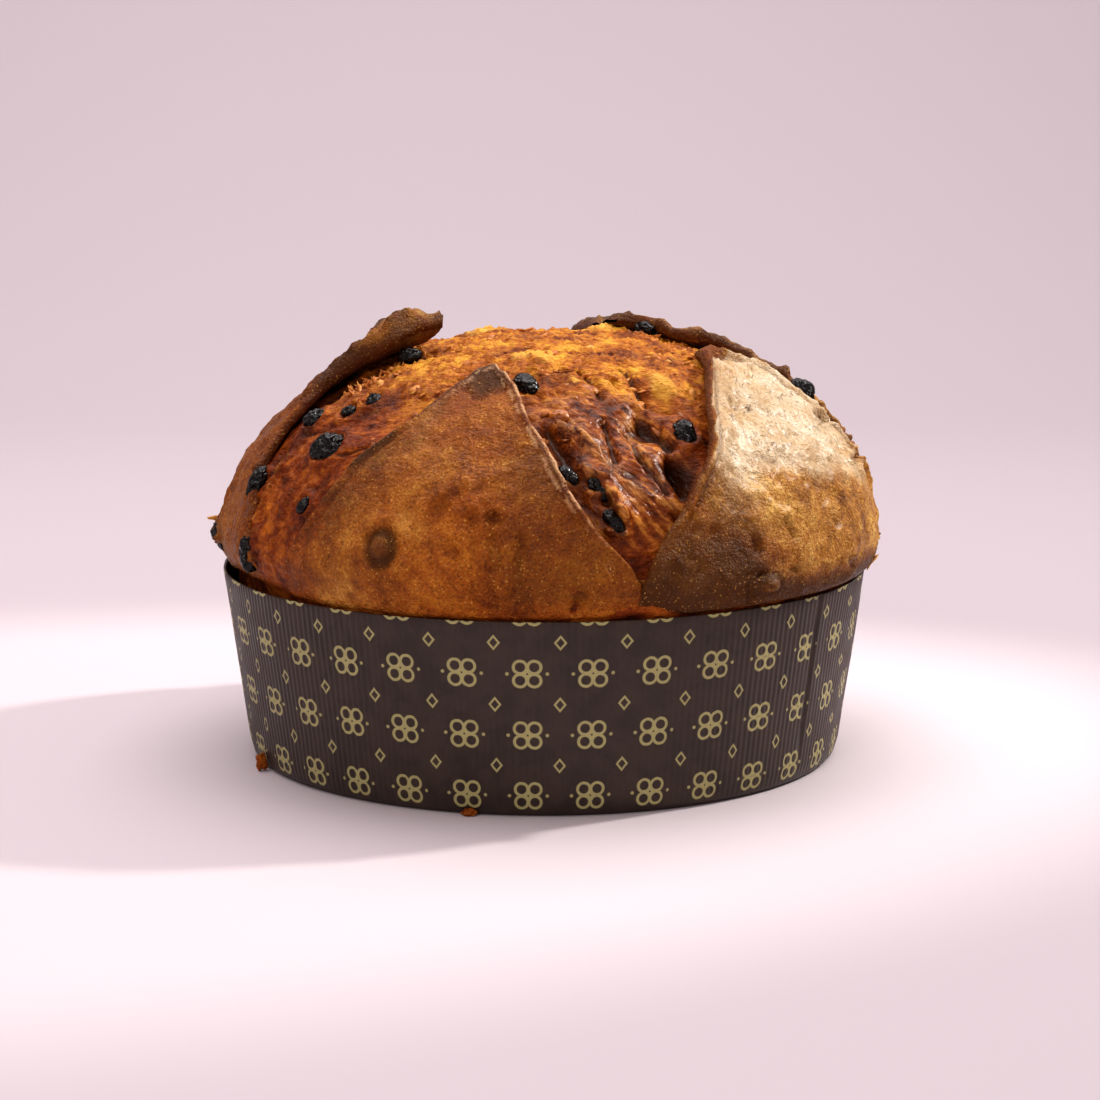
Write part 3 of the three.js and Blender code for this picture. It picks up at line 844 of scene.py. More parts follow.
def crust_masks(name, direction, level, to_edge):
    base = skin(direction, level)
    back = name.startswith("back")
    left_side = bell(turn(-168, direction), 22)
    # The dark mask holds darker crust and painted shade; the gold mask golden crust and painted highlights
    dark, gold, blend = 0.0 * level, 0.0 * level, 0.0 * level

    def spot(at, up):
        return between(direction, level, at, up)

    # The left flap: dark cap and button, painted shade low on its right, a soft blend into the band at its
    # left
    if name == "front_left":
        button = spot(*BUTTON)
        shaded_low_right = smooth(direction, -101, -92) * (1 - smooth(level, 0.3, 0.5))
        dark = 0.14 * smooth(level, 0.2, 0.4)
        dark = dark + 0.9 * (1 - smooth(spot(-105, 0.64), 5, 11))
        dark = dark + 0.9 * bell(line_distance(direction, level, (-127, 0.3), (-122, 0.4)), 2)
        dark = dark + 0.9 * bell(button - 4.2, 1.5) + 0.7 * bell(button, 3.6)
        # Painted shade on the lower right, where the flap turns away from the lamp
        dark = dark + 0.4 * shaded_low_right * smooth(level, -0.9, -0.3)
        gold = 0.08 * bell(turn(-90, direction), 22) * smooth(level, 0.1, 0.4)
        gold = gold + 0.16 * bell(turn(-122, direction), 13)
        blend = smooth(-turn(along(FLAPS[name]["low"], level), direction), -16, -1)
    # The right flap: pale above, partly a painted highlight, and golden below; darker at its foot, partly
    # painted shade, and dark along its rolled edge
    elif name == "front_right":
        patchy = level + 0.02 * np.sin(direction / 3) + 0.03 * np.sin(direction / 7 + level * 20)
        gold = 0.55 * smooth(patchy, 0.06, 0.2) * smooth(direction, -68, -56)
        gold = gold + 0.45 * smooth(patchy, 0.16, 0.34)
        low_gold = smooth(patchy, -0.8, 0.04) * (1 - smooth(patchy, 0.06, 0.2))
        gold = gold + 0.4 * smooth(direction, -62, -38) * low_gold
        to_right = smooth(direction, -58, -40)
        # Darker low down: partly the crust's own colour, partly painted shade under the overhang
        dark = (1 - 0.25 * to_right) * (1 - smooth(patchy, -0.7 * to_right, 0.3 - 0.2 * to_right))
        at_left = 1 - smooth(turn(along(FLAPS[name]["low"], level), direction), 14, 20)
        wide = 1.3 + 3 * smooth(level, 0.5, 0.72) + 1.6 * grain(base, 7, 2, shift=47.0)
        rolled = (1 - smooth(to_edge, wide, wide + 1.4)) * smooth(level, 0.06, 0.16) * at_left
        gold = gold * (1 - rolled)
        dark = dark + 0.45 * rolled + 0.45 * (1 - smooth(level, -0.85, -0.3))
        # The knob: a painted highlight on its top, and painted shade in the groove round it
        knob = line_distance(direction, level, *KNOB)
        dark = dark + 0.8 * bell(spot(8, 0.1), 6)
        dark = dark + bell(knob - 4.8, 1.3)
        mottled = smooth(grain(base, 7, 3, shift=71.0), 0, 0.3) * smooth(level, -0.9, -0.4)
        gold = gold + 0.4 * bell(knob, 3) + 0.05 * mottled * (1 - smooth(level, 0.2, 0.4))
        dark = dark * (1 - 0.6 * bell(knob, 3)) * (1 - 0.12 * mottled)
    # The ears: dark and patchy above, with a painted sunlit rim on the right one and a golden tip on the left
    # one, partly a painted highlight where its face catches the lamp
    if back:
        dark = 0.2 + 0.55 * smooth(level, 0.4, 0.62)
        dark = dark + 0.4 * smooth(grain(base, 9, 2, shift=41.0), 0, 0.2) * smooth(level, 0.4, 0.6)
        dark = dark + 0.8 * bell(spot(25, 0.81), 6) + 0.8 * bell(spot(4, 0.69), 5) + 0.18 * left_side
        gold = 0.4 * bell(turn(30, direction), 40) * smooth(level, 0.05, 0.4) * (1 - smooth(level, 0.5, 0.8))
        gold = gold + 0.6 * smooth(grain(base, 12, 2, shift=43.0), 0.02, 0.2) * smooth(level, 0.5, 0.66)
        gold = gold + 0.6 * bell(spot(54, 0.83), 10)
        gold = gold + 0.7 * bell(spot(11, 0.765), 4) - bell(spot(24, 0.81), 5)
        gold = gold * (1 - 0.9 * left_side)
        # A golden tip on the left ear, partly a painted highlight where its face catches the lamp
        tip = bell(turn(-162, direction), 18) * smooth(level, 0.6, 0.7)
        gold = gold + tip * (0.2 + 0.4 * smooth(grain(base, 6, 2, shift=45.0), -0.05, 0.15))
        dark = dark * (1 - 0.8 * tip)
        # A painted sunlit rim along the right ear's edge
        right_rim = bell(to_edge, 7) * smooth(level, 0.55, 0.7) * smooth(-turn(60, direction), -10, 10)
        sunlit = right_rim * smooth(grain(base, 7, 2, shift=61.0), -0.05, 0.12)
        gold = gold + 0.55 * sunlit
        dark = dark * (1 - 0.8 * sunlit)
    # Slow patches, and painted shade in each crease
    patch = grain(base, 30, 2, shift=33.0)
    uneven = 0.26 if back else 0.1
    gold = gold + uneven * smooth(patch, 0.02, 0.3) * (1 - 0.9 * left_side)
    gold = np.minimum(gold, 0.5 if back else 1)
    dark = dark + uneven * smooth(-patch, 0.02, 0.3)
    crooked = crookedness(base)
    for start, end, depth, width in CREASES:
        dark = dark + 0.2 * depth * bell(line_distance(direction, level, start, end) + crooked, width * 0.7)
    # Lines along the edges: a pale one where the left flap tore, partly a painted highlight, and dark ones
    # elsewhere
    above = smooth(level, 0.08, 0.25)
    torn_side = smooth(direction, -118, -106) * (name == "front_left") * above
    bright = torn_side * (bell(to_edge - 0.7, 0.7) + 0.7 * bell(to_edge - 3.3, 0.6))
    twice = bell(to_edge, 0.9) + 0.8 * bell(to_edge - 4.6, 0.7)
    lip = np.where(torn_side > 0, bell(to_edge - 2, 0.6), twice) * above
    masks = {"dark": dark, "gold": gold, "blend": blend, "bright": bright, "lip": lip}
    return {mask: np.clip(values, 0, 1) for mask, values in masks.items()}


print("masks", list(crust_masks("front_left", np.zeros(1), np.zeros(1), np.zeros(1))))

# %% [markdown]
# The four flaps are joined in one mesh, because they are one material and none of them ever moves alone.

# %% Make the crust
crust_shell = bmesh.new()
for flap_name, flap_sizes in FLAPS.items():
    join(crust_shell, flap_piece(flap_name, flap_sizes))
crust = finish_mesh(crust_shell, "crust_flaps")
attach(crust, "root")
print("crust faces", len(crust.data.polygons))

# %% [markdown]
# ## The torn crumb
# Between the flaps the loaf tore open while it rose. On top the crumb is pulled into golden strands and
# pitted by gas; in the front valley it has baked into glossy brown folds; on the left it is a smooth
# orange band. An icosphere gives even triangles over a dome, and each of its points is moved on to the
# loaf and then up or down by these three reliefs.

# %% Hollows, folds and chunks

# Hollows, and lumps where the depth is less than nothing: direction, level, depth, spread
HOLES = [
    (-68.5, 0.49, 5, 5),
    (-57.5, 0.59, 4, 5),
    (-62.5, 0.32, 6, 6),
    (-84, 0.28, 3, 5),
    (-164, 0.5, -2.6, 4),
    (-81.5, 0.44, -2.4, 4.5),
    (-10, 0.5, 3, 7),
]


# Folds and, where the height is less than nothing, cracks: start and end as (direction, level), height, width
FOLDS = [
    ((-69.2, 0.532), (-69.7, 0.375), 0.6, 3),
    ((-69.7, 0.375), (-65.7, 0.267), 0.6, 3),
    ((-77.8, 0.38), (-70.2, 0.243), 0.9, 3.6),
    ((-70.2, 0.243), (-65.5, 0.203), 0.8, 3.4),
    ((-84.6, 0.566), (-79, 0.396), 2.2, 5),
    ((-82.4, 0.337), (-76.1, 0.186), 2.4, 2.6),
    ((-75.6, 0.509), (-75.7, 0.379), -3, 1.3),
    ((-71.3, 0.481), (-70.5, 0.376), -1.8, 1),
    ((-70.5, 0.376), (-66.8, 0.254), -2, 1),
    ((-66, 0.529), (-62.4, 0.433), -4.8, 2.6),
    ((-63.9, 0.354), (-63.5, 0.25), -4.8, 2.8),
    ((-81.1, 0.293), (-79.1, 0.236), -3.6, 1.9),
    ((-79.1, 0.236), (-77.1, 0.139), -3.6, 1.9),
    ((-89, 0.487), (-83.6, 0.331), -2.8, 1.8),
    ((-90.8, 0.712), (-77.5, 0.698), -2, 1.2),
    ((-77.5, 0.698), (-73.7, 0.599), -2.4, 1.2),
    ((-61.8, 0.71), (-62.4, 0.582), -2.8, 1.6),
    ((-62.4, 0.582), (-56.5, 0.546), -3.2, 1.8),
    ((-153.2, 0.26), (-152, 0.33), -2.2, 0.9),
    ((-155, 0.3), (-153.4, 0.4), -2.4, 1),
    ((-151.4, 0.2), (-150.8, 0.28), -1.6, 0.8),
    ((-149.6, 0.06), (-148.6, 0.3), 1.3, 0.8),
    ((-147.5, 0.38), (-141, 0.42), -1.4, 0.9),
    ((-133, 0.32), (-127, 0.36), -1.2, 0.8),
    ((-80.4, 0.25), (-78.2, 0.243), 2.8, 1.2),
    ((-79.4, 0.14), (-76.6, 0.13), 2.8, 1.2),
    ((-86.2, 0.285), (-83.8, 0.28), 2.4, 1.2),
    ((-80.8, 0.305), (-78.8, 0.302), 2, 1),
    ((-79, 0.2), (-77, 0.196), 1.6, 0.9),
    ((100, 0.2), (108, 0.42), 2.4, 3),
    ((111, 0.3), (103, 0.56), -3, 1.8),
    ((98, 0.6), (106, 0.66), 2.2, 3),
]

# Chunks of paler crumb: direction, level, height, spread
CHUNKS = [
    (-54.8, 0.63, 2.2, 4.6),
    (-90, 0.79, 1.4, 5),
    (-80, 0.66, 1.2, 2.4),
    (-100, 0.8, 1, 4),
    (47, 0.85, 3.4, 6),
    (36, 0.81, 1.2, 4),
    (140, 0.85, 1.4, 6),
    (96, 0.8, 1.2, 4),
]
print("holes", len(HOLES), "folds", len(FOLDS), "chunks", len(CHUNKS))

# %% [markdown]
# Torn dough looks the way it does because thin sheets of it were pulled until each one broke. A saw wave
# says so in one line: it rises slowly, falls at the torn edge, and noise bends it. The same wave with other
# sizes makes the folds of the valley and the flakes on top.

# %% Relief of the crumb


def torn_sheets(phase):
    """Sheets that rise slowly and break off at a torn edge, one for each whole step of the phase."""
    share = phase - np.floor(phase)
    return share - smooth(share, 0.78, 1), bell(share - 0.76, 0.1)


def crumb_parts(direction, level):
    top = smooth(level, 0.42, 0.72)
    front = bell(turn(-77, direction), 17) * smooth(level, 0.02, 0.2) * (1 - smooth(level, 0.5, 0.66))
    left = bell(turn(-144, direction), 17) * (1 - top)
    return top, front, left


def crumb_relief(direction, level):
    """How far the crumb stands out at each point, and the masks that its finish reads."""
    base = skin(direction, level)
    top, front, left = crumb_parts(direction, level)
    # The crumb lies lower than the crust, except where the left flap runs into it
    out = -5 + 4.6 * top + 3.4 * left - front
    from_border = turn(along(FLAPS["front_left"]["low"], level), direction)
    merge = bell(from_border, 13) * (1 - smooth(level, 0.36, 0.46))
    out = out * (1 - merge) - 0.4 * merge
    for at, up, depth, spread in HOLES:
        out = out - depth * bell(between(direction, level, at, up), spread)
    # The valley's folds
    run = np.radians(turn(-77, direction)) * LOAF_RADIUS * girth(level)
    wander = 11 * grain(base, 26, 2, shift=13.0) + 0.8 * grain(base, 6, 2, shift=21.0)
    sheets, tear = torn_sheets((run * 0.87 + level * 52 + wander) / 19)
    size = 0.85 + 0.9 * grain(base, 20, 1, shift=31.0)
    small = ridges(base, 9, 2, stretch=(1, 1, 1.6), shift=17.0)
    crackle = ridges(base, 3.4, 3, stretch=(1, 1, 1.8), shift=23.0)
    out = out + front * (3.4 * size * (sheets - 0.42) + 0.5 * (small - 0.6) + 0.3 * (crackle - 0.6))
    jagged = 0.8 * grain(base, 6, 2, shift=35.0)
    crack = 0 * level
    crest = 0 * level
    for start, end, height, width in FOLDS:
        share = bell(line_distance(direction, level, start, end) + jagged, width)
        out = out + height * share
        if height < 0:
            crack = np.maximum(crack, share)
        else:
            crest = np.maximum(crest, share**3)
    pale = 0 * level
    for at, up, height, spread in CHUNKS:
        share = bell(between(direction, level, at, up) + 2 * jagged, spread)
        out = out + height * share * (0.7 + crackle * 0.5)
        pale = np.maximum(pale, share)
    # Strands and flakes of the top
    swirl = base + 5 * np.stack([grain(base, 16, 2, shift=s) for s in (1.0, 4.0, 7.0)], -1)
    fibre = ridges(swirl, 3.6, 3, stretch=(2.4, 1, 1), shift=2.0)
    strands = ridges(swirl, 1.7, 2, stretch=(3, 1, 1), shift=6.0)
    flake_phase = grain(base, 22, 3, shift=27.0) * 5 + 0.25 * grain(base, 4, 2, shift=29.0)
    flakes, flake_tear = torn_sheets(flake_phase)
    # A gap under the left ear, with a fringe beside it
    from_ear = turn(along(FLAPS["back_left"]["high"], level), direction)
    beside = smooth(level, 0.42, 0.52) * (1 - smooth(level, 0.76, 0.8))
    gap = bell(from_ear - 1, 6) * beside
    fringe = bell(from_ear - 10, 5) * beside
    out = out - 3 * gap + 0.8 * fringe
    # All together, each where it belongs
    torn_top = np.clip(top + 0.35 * left, 0, 1)
    out = out + torn_top * (1.1 * (fibre - 0.7) + 0.8 * (strands - 0.7) + 1.5 * (flakes - 0.4))
    out = out + top * 1.4 * grain(base, 13, 2, shift=8.0)
    out = out - top * pits(base, 6.5, 1.8, shift=3.0) * smooth(grain(base, 18, 1, shift=5.0), -0.1, 0.25)
    out = out + left * 1.0 * grain(base, 9, 3, shift=11.0)
    torn_edge = torn_top * flake_tear * 0.7 + 0.7 * fringe * (fibre - 0.2)
    # Pale torn edges, and a painted highlight along the crests of the valley's folds
    edge = np.clip(0.5 * front * tear + 0.6 * crest + torn_edge, 0, 1)
    out = out + collars(direction, level) * (1 - 0.6 * front) + 3.4 * front * raisin_beds(direction, level)
    # Painted shade in the cracks, the gap under the left ear, the foot of each sheet and low in the valley
    low = np.maximum(np.maximum(0.8 * front * (1 - sheets), gap * 1.2), crack * 1.2)
    low = low + 0.55 * front * (1 - smooth(level, 0.04, 0.24))
    return out, {"top": top, "front": front, "left": left, "edge": edge, "low": low, "pale": pale}


crown_out, crown_masks = crumb_relief(np.array([0.0]), np.array([0.9]))
print("crumb near the crown", crown_out.round(2), "mm from the uncut crust, masks", list(crown_masks))

# %% [markdown]
# The icosphere is cut off a few millimetres inside the paper. What the paper hides needs no relief, but the
# piece has to be closed, so its open rim is extruded down in three steps and filled at the bottom.

# %% Make the crumb
# The icosphere's latitudes become levels: 90 degrees up to the crown, and 9 down to the paper's rim
DEGREES_PER_NECK = 9.0
LOWEST_DEGREES = -10.8
ball = bmesh.new()
bmesh.ops.create_icosphere(ball, subdivisions=8, radius=1)
doomed = [v for v in ball.verts if math.degrees(math.asin(max(-1, min(1, v.co.z)))) < LOWEST_DEGREES]
bmesh.ops.delete(ball, geom=doomed, context="VERTS")
spots = np.array([v.co for v in ball.verts])
latitude = np.degrees(np.arcsin(np.clip(spots[:, 2], -1, 1)))
direction = np.degrees(np.arctan2(spots[:, 1], spots[:, 0]))
level = np.where(latitude >= 0, latitude / 90, latitude / DEGREES_PER_NECK)
out, crumb_masks = crumb_relief(direction, level)
under = smooth(-level, 0.2, 1)
out = out * (1 - under) - 0.6 * under
put(ball, place(direction, level, out))
for mask, values in crumb_masks.items():
    store(ball, mask, values)
store(ball, "depth", out)

# The hidden sides and base are a plain tub, drawn down from the dome's rim and closed
TUB_HEIGHTS = (40, 8, 2)
TUB_FOOT_INSET = 4.5
rim = [e for e in ball.edges if e.is_boundary]
for height in TUB_HEIGHTS:
    grown = bmesh.ops.extrude_edge_only(ball, edges=rim)["geom"]
    ring = [g for g in grown if isinstance(g, bmesh.types.BMVert)]
    for vert in ring:
        flat = Vector((vert.co.x, vert.co.y, 0)).normalized()
        inset = TUB_FOOT_INSET if height == TUB_HEIGHTS[-1] else 0
        radius = wall(height) - PAPER - PAPER_GAP - inset
        vert.co = Vector((flat.x * radius, flat.y * radius, height))
    rim = [g for g in grown if isinstance(g, bmesh.types.BMEdge) and g.is_boundary]
bmesh.ops.holes_fill(ball, edges=rim, sides=len(rim) + 2)
crumb = finish_mesh(ball, "torn_crumb")
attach(crumb, "root")
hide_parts("loaf")
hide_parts("loaf")
print("crumb faces", len(crumb.data.polygons))

# %% [markdown]
# ### Baked crust
# The colour of crust is browning: more where it bulged towards the heat, less in the creases. Clouds of
# noise mottle it, and the masks darken the lips and gild the right flap, whose palest part is a cream with
# fine golden veins and partly a painted highlight. The dark mask also holds painted shade, and the gold mask
# painted highlights on the ears. Small cells make the blisters, and smaller ones the sandy specks.

# %% The crust's finish


def band_colour(finish):
    """The red-orange of the smooth band, which the left flap runs into without a border."""
    streaks = finish.cloud(4, 4, 0.65, place=finish.streaked())
    tone = streaks * 0.35 + finish.cloud(15, 3, 0.6) * 0.5 + finish.cloud(1.4, 2, 0.6) * 0.15
    return finish.ramp(tone, {0.39: (0.06, 0.009, 0.001), 0.5: (0.2, 0.034, 0.002), 0.63: (0.5, 0.14, 0.01)})


baked = Finish("baked crust")
patches = baked.cloud(24, 3, 0.6)
mottle = baked.cloud(5.5, 4, 0.65)
speck = baked.cloud(1.1, 2, 0.6)
tone = patches * 0.45 + mottle * 0.35 + speck * 0.25
brown = baked.ramp(tone, {0.4: (0.175, 0.035, 0.003), 0.53: (0.37, 0.098, 0.008), 0.66: (0.55, 0.19, 0.016)})
warm = baked.mix(baked.attribute("blend") * 0.9, brown, band_colour(baked))
# Golden and cream colours for the gold mask, which also carries painted highlights on the right flap and ears
golden_and_lit = baked.ramp(tone, {0.4: (0.17, 0.052, 0.005), 0.53: (0.44, 0.185, 0.024), 0.66: (0.8, 0.47, 0.12)})
cream_and_highlight = baked.ramp(tone, {0.4: (0.41, 0.22, 0.08), 0.49: (0.55, 0.375, 0.2), 0.6: (0.7, 0.56, 0.39)})
gold_and_highlight_share = baked.attribute("gold")
gilded_and_lit = baked.mix(gold_and_highlight_share.ease(0, 0.5), warm, golden_and_lit)
gilded_and_lit = baked.mix(gold_and_highlight_share.ease(0.6, 0.98), gilded_and_lit, cream_and_highlight)
# The dark mask darkens the crust and paints shade in creases and on the flaps' lower parts
dusky = baked.mix(baked.attribute("dark") * 0.9, gilded_and_lit, (0.07, 0.026, 0.006))
lipped = baked.mix(baked.attribute("lip") * 0.75, dusky, (0.1, 0.026, 0.006))
below = baked.mix(baked.attribute("underside") * gold_and_highlight_share.ease(0, 0.4, 0.6, 0.1), lipped, (0.14, 0.04, 0.01))
grit = baked.cloud(0.9, 2, 0.6)
sand = baked.cells(900.0).ease(0.34, 0.16) * speck.ease(0.47, 0.56) * mottle.ease(0.36, 0.6)
# A pale torn line on the left flap's lip, partly a painted highlight
bright = baked.mix(baked.attribute("bright") * mottle.ease(0.4, 0.5) * 0.85, below, (0.72, 0.44, 0.24))
sandy = baked.mix(sand * 0.6, bright, (0.82, 0.46, 0.12))
pore_colour = baked.mix(gold_and_highlight_share, (0.09, 0.022, 0.003), (0.3, 0.14, 0.03))
pores = baked.mix(grit.ease(0.45, 0.35) * gold_and_highlight_share.ease(0.4, 0.9, 0.5, 0.4), sandy, pore_colour)
vein = abs(baked.cloud(7, 3, 0.55, Distortion=0.8) - 0.5).ease(0.0, 0.02, 1.0, 0.0) * mottle.ease(0.5, 0.6)
veined = baked.mix(vein * gold_and_highlight_share * 0.5, pores, (0.27, 0.11, 0.02))
blisters = baked.cells(480.0)
relief = (mottle * 0.8 + speck * 0.6 - blisters * 0.3 + grit * 0.7) * gold_and_highlight_share.ease(0.4, 0.9, 1.0, 0.7)
fine = baked.bump(relief - vein * gold_and_highlight_share * 0.4, 1.3, 1.0)
baked.shade(
    Base_Color=veined,
    Roughness=mottle.ease(0.3, 0.7, 0.34, 0.56),
    Normal=fine,
    Specular_IOR_Level=0.16,
    Coat_Weight=gold_and_highlight_share * 0.3,
    Coat_Roughness=0.35,
)
crust.data.materials.append(baked.material)
print("nodes of the baked crust", len(baked.tree.nodes))

# %% [markdown]
# ### Torn crumb
# The masks pick between three looks: bright amber strands on top, a red-orange band on the left and dark
# glossy folds in front. Deep places are darker, partly because little heat reached them and partly as painted
# shade, because little light reaches them. The folds' crests carry a painted highlight.

# %% The crumb's finish
torn = Finish("torn crumb")
streaks = torn.cloud(4, 4, 0.65, place=torn.streaked())
slanting = torn.node(
    "ShaderNodeMapping",
    {"vector_type": "TEXTURE"},
    {"Vector": torn.object_place(), "Rotation": (0, 0.8, 0), "Scale": (4, 1, 1)},
)
fibres = torn.cloud(2.6, 3, 0.6, place=slanting)
blotch = torn.cloud(15, 3, 0.6)
point = torn.cloud(1.4, 2, 0.6, place=torn.streaked())
tone = streaks * 0.3 + blotch * 0.48 + point * 0.22
amber = torn.ramp(tone, {0.4: (0.13, 0.024, 0.002), 0.5: (0.38, 0.105, 0.006), 0.61: (0.72, 0.35, 0.035)})
orange = band_colour(torn)
tone = fibres * 0.47 + blotch * 0.37 + point * 0.16
glossy = torn.ramp(tone, {0.42: (0.065, 0.013, 0.003), 0.52: (0.24, 0.052, 0.005), 0.62: (0.62, 0.24, 0.04)})
banded = torn.mix(torn.attribute("top"), orange, amber)
in_front = torn.attribute("front")
valley = torn.mix(in_front.ease(0.15, 0.6), banded, glossy)
# Pale torn edges on top, and a painted sheen along the crests of the valley's folds
rim_and_sheen_colour = torn.mix(in_front, (0.72, 0.33, 0.075), (0.66, 0.34, 0.12))
rimmed_and_sheened = torn.mix(torn.attribute("edge") * fibres.ease(0.4, 0.6) * 0.6, valley, rim_and_sheen_colour)
# Painted shade in cracks, gaps and hollows, from the low mask
sunk = torn.attribute("low").ease(0.45, 1.0) * 0.8
shaded = torn.mix(sunk, rimmed_and_sheened, (0.065, 0.016, 0.004))
chunky = torn.mix(torn.attribute("pale").ease(0.3, 0.9) * 0.7, shaded, (0.88, 0.47, 0.08))
# Painted shade in the deepest places, stronger the deeper the crumb lies
deep = torn.mix(torn.attribute("depth").ease(-11, -6, 0.85, 0.0), chunky, (0.035, 0.009, 0.003))
satin = in_front.ease(0.1, 0.6, 0.5, 0.24) + point * 0.25 - torn.attribute("left") * 0.1 - 0.1
folded = in_front.ease(0.1, 0.6)
weave = (streaks * 0.8 + point * 0.9) * (1 - folded) + (fibres * 0.9 + point * 0.3) * folded
torn.shade(
    Base_Color=deep,
    Roughness=satin,
    Normal=torn.bump(weave, 1.3, 1.0),
    Specular_IOR_Level=0.16,
    Coat_Weight=in_front.ease(0.1, 0.5) * 0.1,
    Coat_Roughness=0.3,
)
crumb.data.materials.append(torn.material)
print("nodes of the torn crumb", len(torn.tree.nodes))

# %% [markdown]
# Where crumb tears, small shreds stand up from it. Each shred is a short bent spindle, half sunk in the
# crumb, most of them close to a flap's edge where the tearing was strongest.

# %% Shreds of crumb
SHREDS = 330
OPEN_LEVELS = (0.06, 0.97)
# The fringe stands beside the left ear
FRINGE = 70
FRINGE_DIRECTIONS = (-157, -146)
FRINGE_LEVELS = (0.52, 0.77)
# Two flakes of crust that hang off: direction, level, out, half sizes, lean
FLAKES = [
    (-11, -0.75, 0.3, (1.3, 3.4, 0.5), 0.12),
    (-177, 0.02, 1.4, (0.8, 2.6, 0.4), 0.9),
]
FLAKE_TURN = -0.7


def covered(direction, level):
    """How far under a flap a spot is, in degrees; less than nothing where the crumb is open."""
    depth = -99.0
    for flap in FLAPS.values():
        if level < flap["top"]:
            low = along(flap["low"], level)
            span = float(turn(low, along(flap["high"], level)))
            at = float(turn(low, direction))
            depth = max(depth, min(at, span - at))
    return depth


def shred(at, normal, half, turned, lean, seed):
    """One spindle of crumb, in millimetres."""
    piece = bmesh.new()
    bmesh.ops.create_icosphere(piece, subdivisions=2, radius=1)
    side = normal.orthogonal().normalized()
    stand = Matrix((side, normal.cross(side), normal)).transposed().to_4x4()
    basis = Matrix.Translation(at) @ stand @ Matrix.Rotation(turned, 4, "Z") @ Matrix.Rotation(lean, 4, "X")
    for vert in piece.verts:
        rough = 1 + 0.9 * noise.noise(vert.co * 1.5 + Vector((seed, 0, 0)))
        body = sized(vert.co, half) * rough
        body.z += 0.12 * body.y**2 / half[1]
        vert.co = basis @ body
    return piece


print("cover over the valley's middle", round(covered(-77, 0.3), 1), "degrees")

# %% [markdown]
# Where the shreds stand is left to chance, with the same seed each time, so that every run gives the same
# loaf. A spot under a flap is passed over, and so are most spots far from any edge.

# %% Scatter the shreds
chance = random.Random(7)
picks = []
while len(picks) < SHREDS:
    spot, up = chance.uniform(-180, 180), chance.uniform(*OPEN_LEVELS)
    under_flap = covered(spot, up)
    near = under_flap > -7
    is_open = under_flap < 0.5 and chance.random() < math.cos(up * QUARTER_TURN)
    if is_open and (near or chance.random() < 0.4):
        picks.append((spot, up, 1.0))
while len(picks) < SHREDS + FRINGE:
    picks.append((chance.uniform(*FRINGE_DIRECTIONS), chance.uniform(*FRINGE_LEVELS), 1.5))
spots = np.array(picks)
shred_out, shred_masks = crumb_relief(spots[:, 0], spots[:, 1])
shred_at = place(spots[:, 0], spots[:, 1], shred_out - 0.2)
shred_normal = outward(spots[:, 0], spots[:, 1])
shreds = bmesh.new()
tint = shreds.verts.layers.float.new("tint")
for index, (spot, up, grow) in enumerate(picks):
    if shred_masks["left"][index] > 0.4 and grow == 1:
        continue
    if shred_masks["front"][index] > 0.25 and up < 0.42:
        continue
    if spot > 60 and up < 0.6 and chance.random() < 0.6:
        continue
    long = chance.uniform(0.9, 2.4) * grow
    half = (long * chance.uniform(0.4, 0.8), long, long * chance.uniform(0.2, 0.4))
    if grow > 1:
        half = (0.6, long * 0.75, 0.5)
    at, normal = Vector(shred_at[index]), Vector(shred_normal[index])
    lean = chance.uniform(0.2, 1.2) if grow > 1 else chance.uniform(-0.6, 0.6)
    piece = shred(at, normal, half, chance.uniform(0, 4 * QUARTER_TURN), lean, index * 3.7)
    tones = (0.3, 0.7) if shred_masks["top"][index] > 0.5 or grow > 1 else (0.1, 0.4)
    tone_here = chance.uniform(*tones)
    for vert in join(shreds, piece):
        vert[tint] = tone_here
for spot, up, out, half, lean in FLAKES:
    at = Vector(place(np.array([spot]), np.array([up]), np.array([out]))[0])
    normal = Vector(outward(np.array([spot]), np.array([up]))[0])
    for vert in join(shreds, shred(at, normal, half, FLAKE_TURN, lean, spot)):
        vert[tint] = 0.9
shred_object = finish_mesh(shreds, "crumb_shreds")
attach(shred_object, "root")
shredded = Finish("crumb shreds")
tone = shredded.attribute("tint") * 0.7 + shredded.cloud(1.5, 2, 0.5) * 0.4
toasted = shredded.ramp(tone, {0.15: (0.09, 0.022, 0.006), 0.5: (0.5, 0.15, 0.02), 0.9: (0.82, 0.45, 0.12)})
shredded.shade(Base_Color=toasted, Roughness=0.5, Specular_IOR_Level=0.35)
shred_object.data.materials.append(shredded.material)
print("shreds", len(shred_object.data.polygons))

# %% [markdown]
# ## Raisins and peel
# A raisin is a dried grape: dark, wrinkled and a little shiny. An icosphere with creased noise has the
# wrinkles; each one stands where its CAD node is.

# %% Stand a piece of fruit on the loaf


def fruit_basis(spec):
    """The matrix that stands a unit ball on the loaf."""
    direction, level, out, half, turned = spec
    at = place(np.array([direction]), np.array([level]), np.array([out]))[0]
    normal = Vector(outward(np.array([direction]), np.array([level]))[0])
    angle = math.radians(direction)
    side = Vector((-math.sin(angle), math.cos(angle), 0))
    up = normal.cross(side)
    stand = Matrix((side, up, normal)).transposed().to_4x4()
    return Matrix.Translation(Vector(at)) @ stand @ Matrix.Rotation(math.radians(turned), 4, "Z"), half


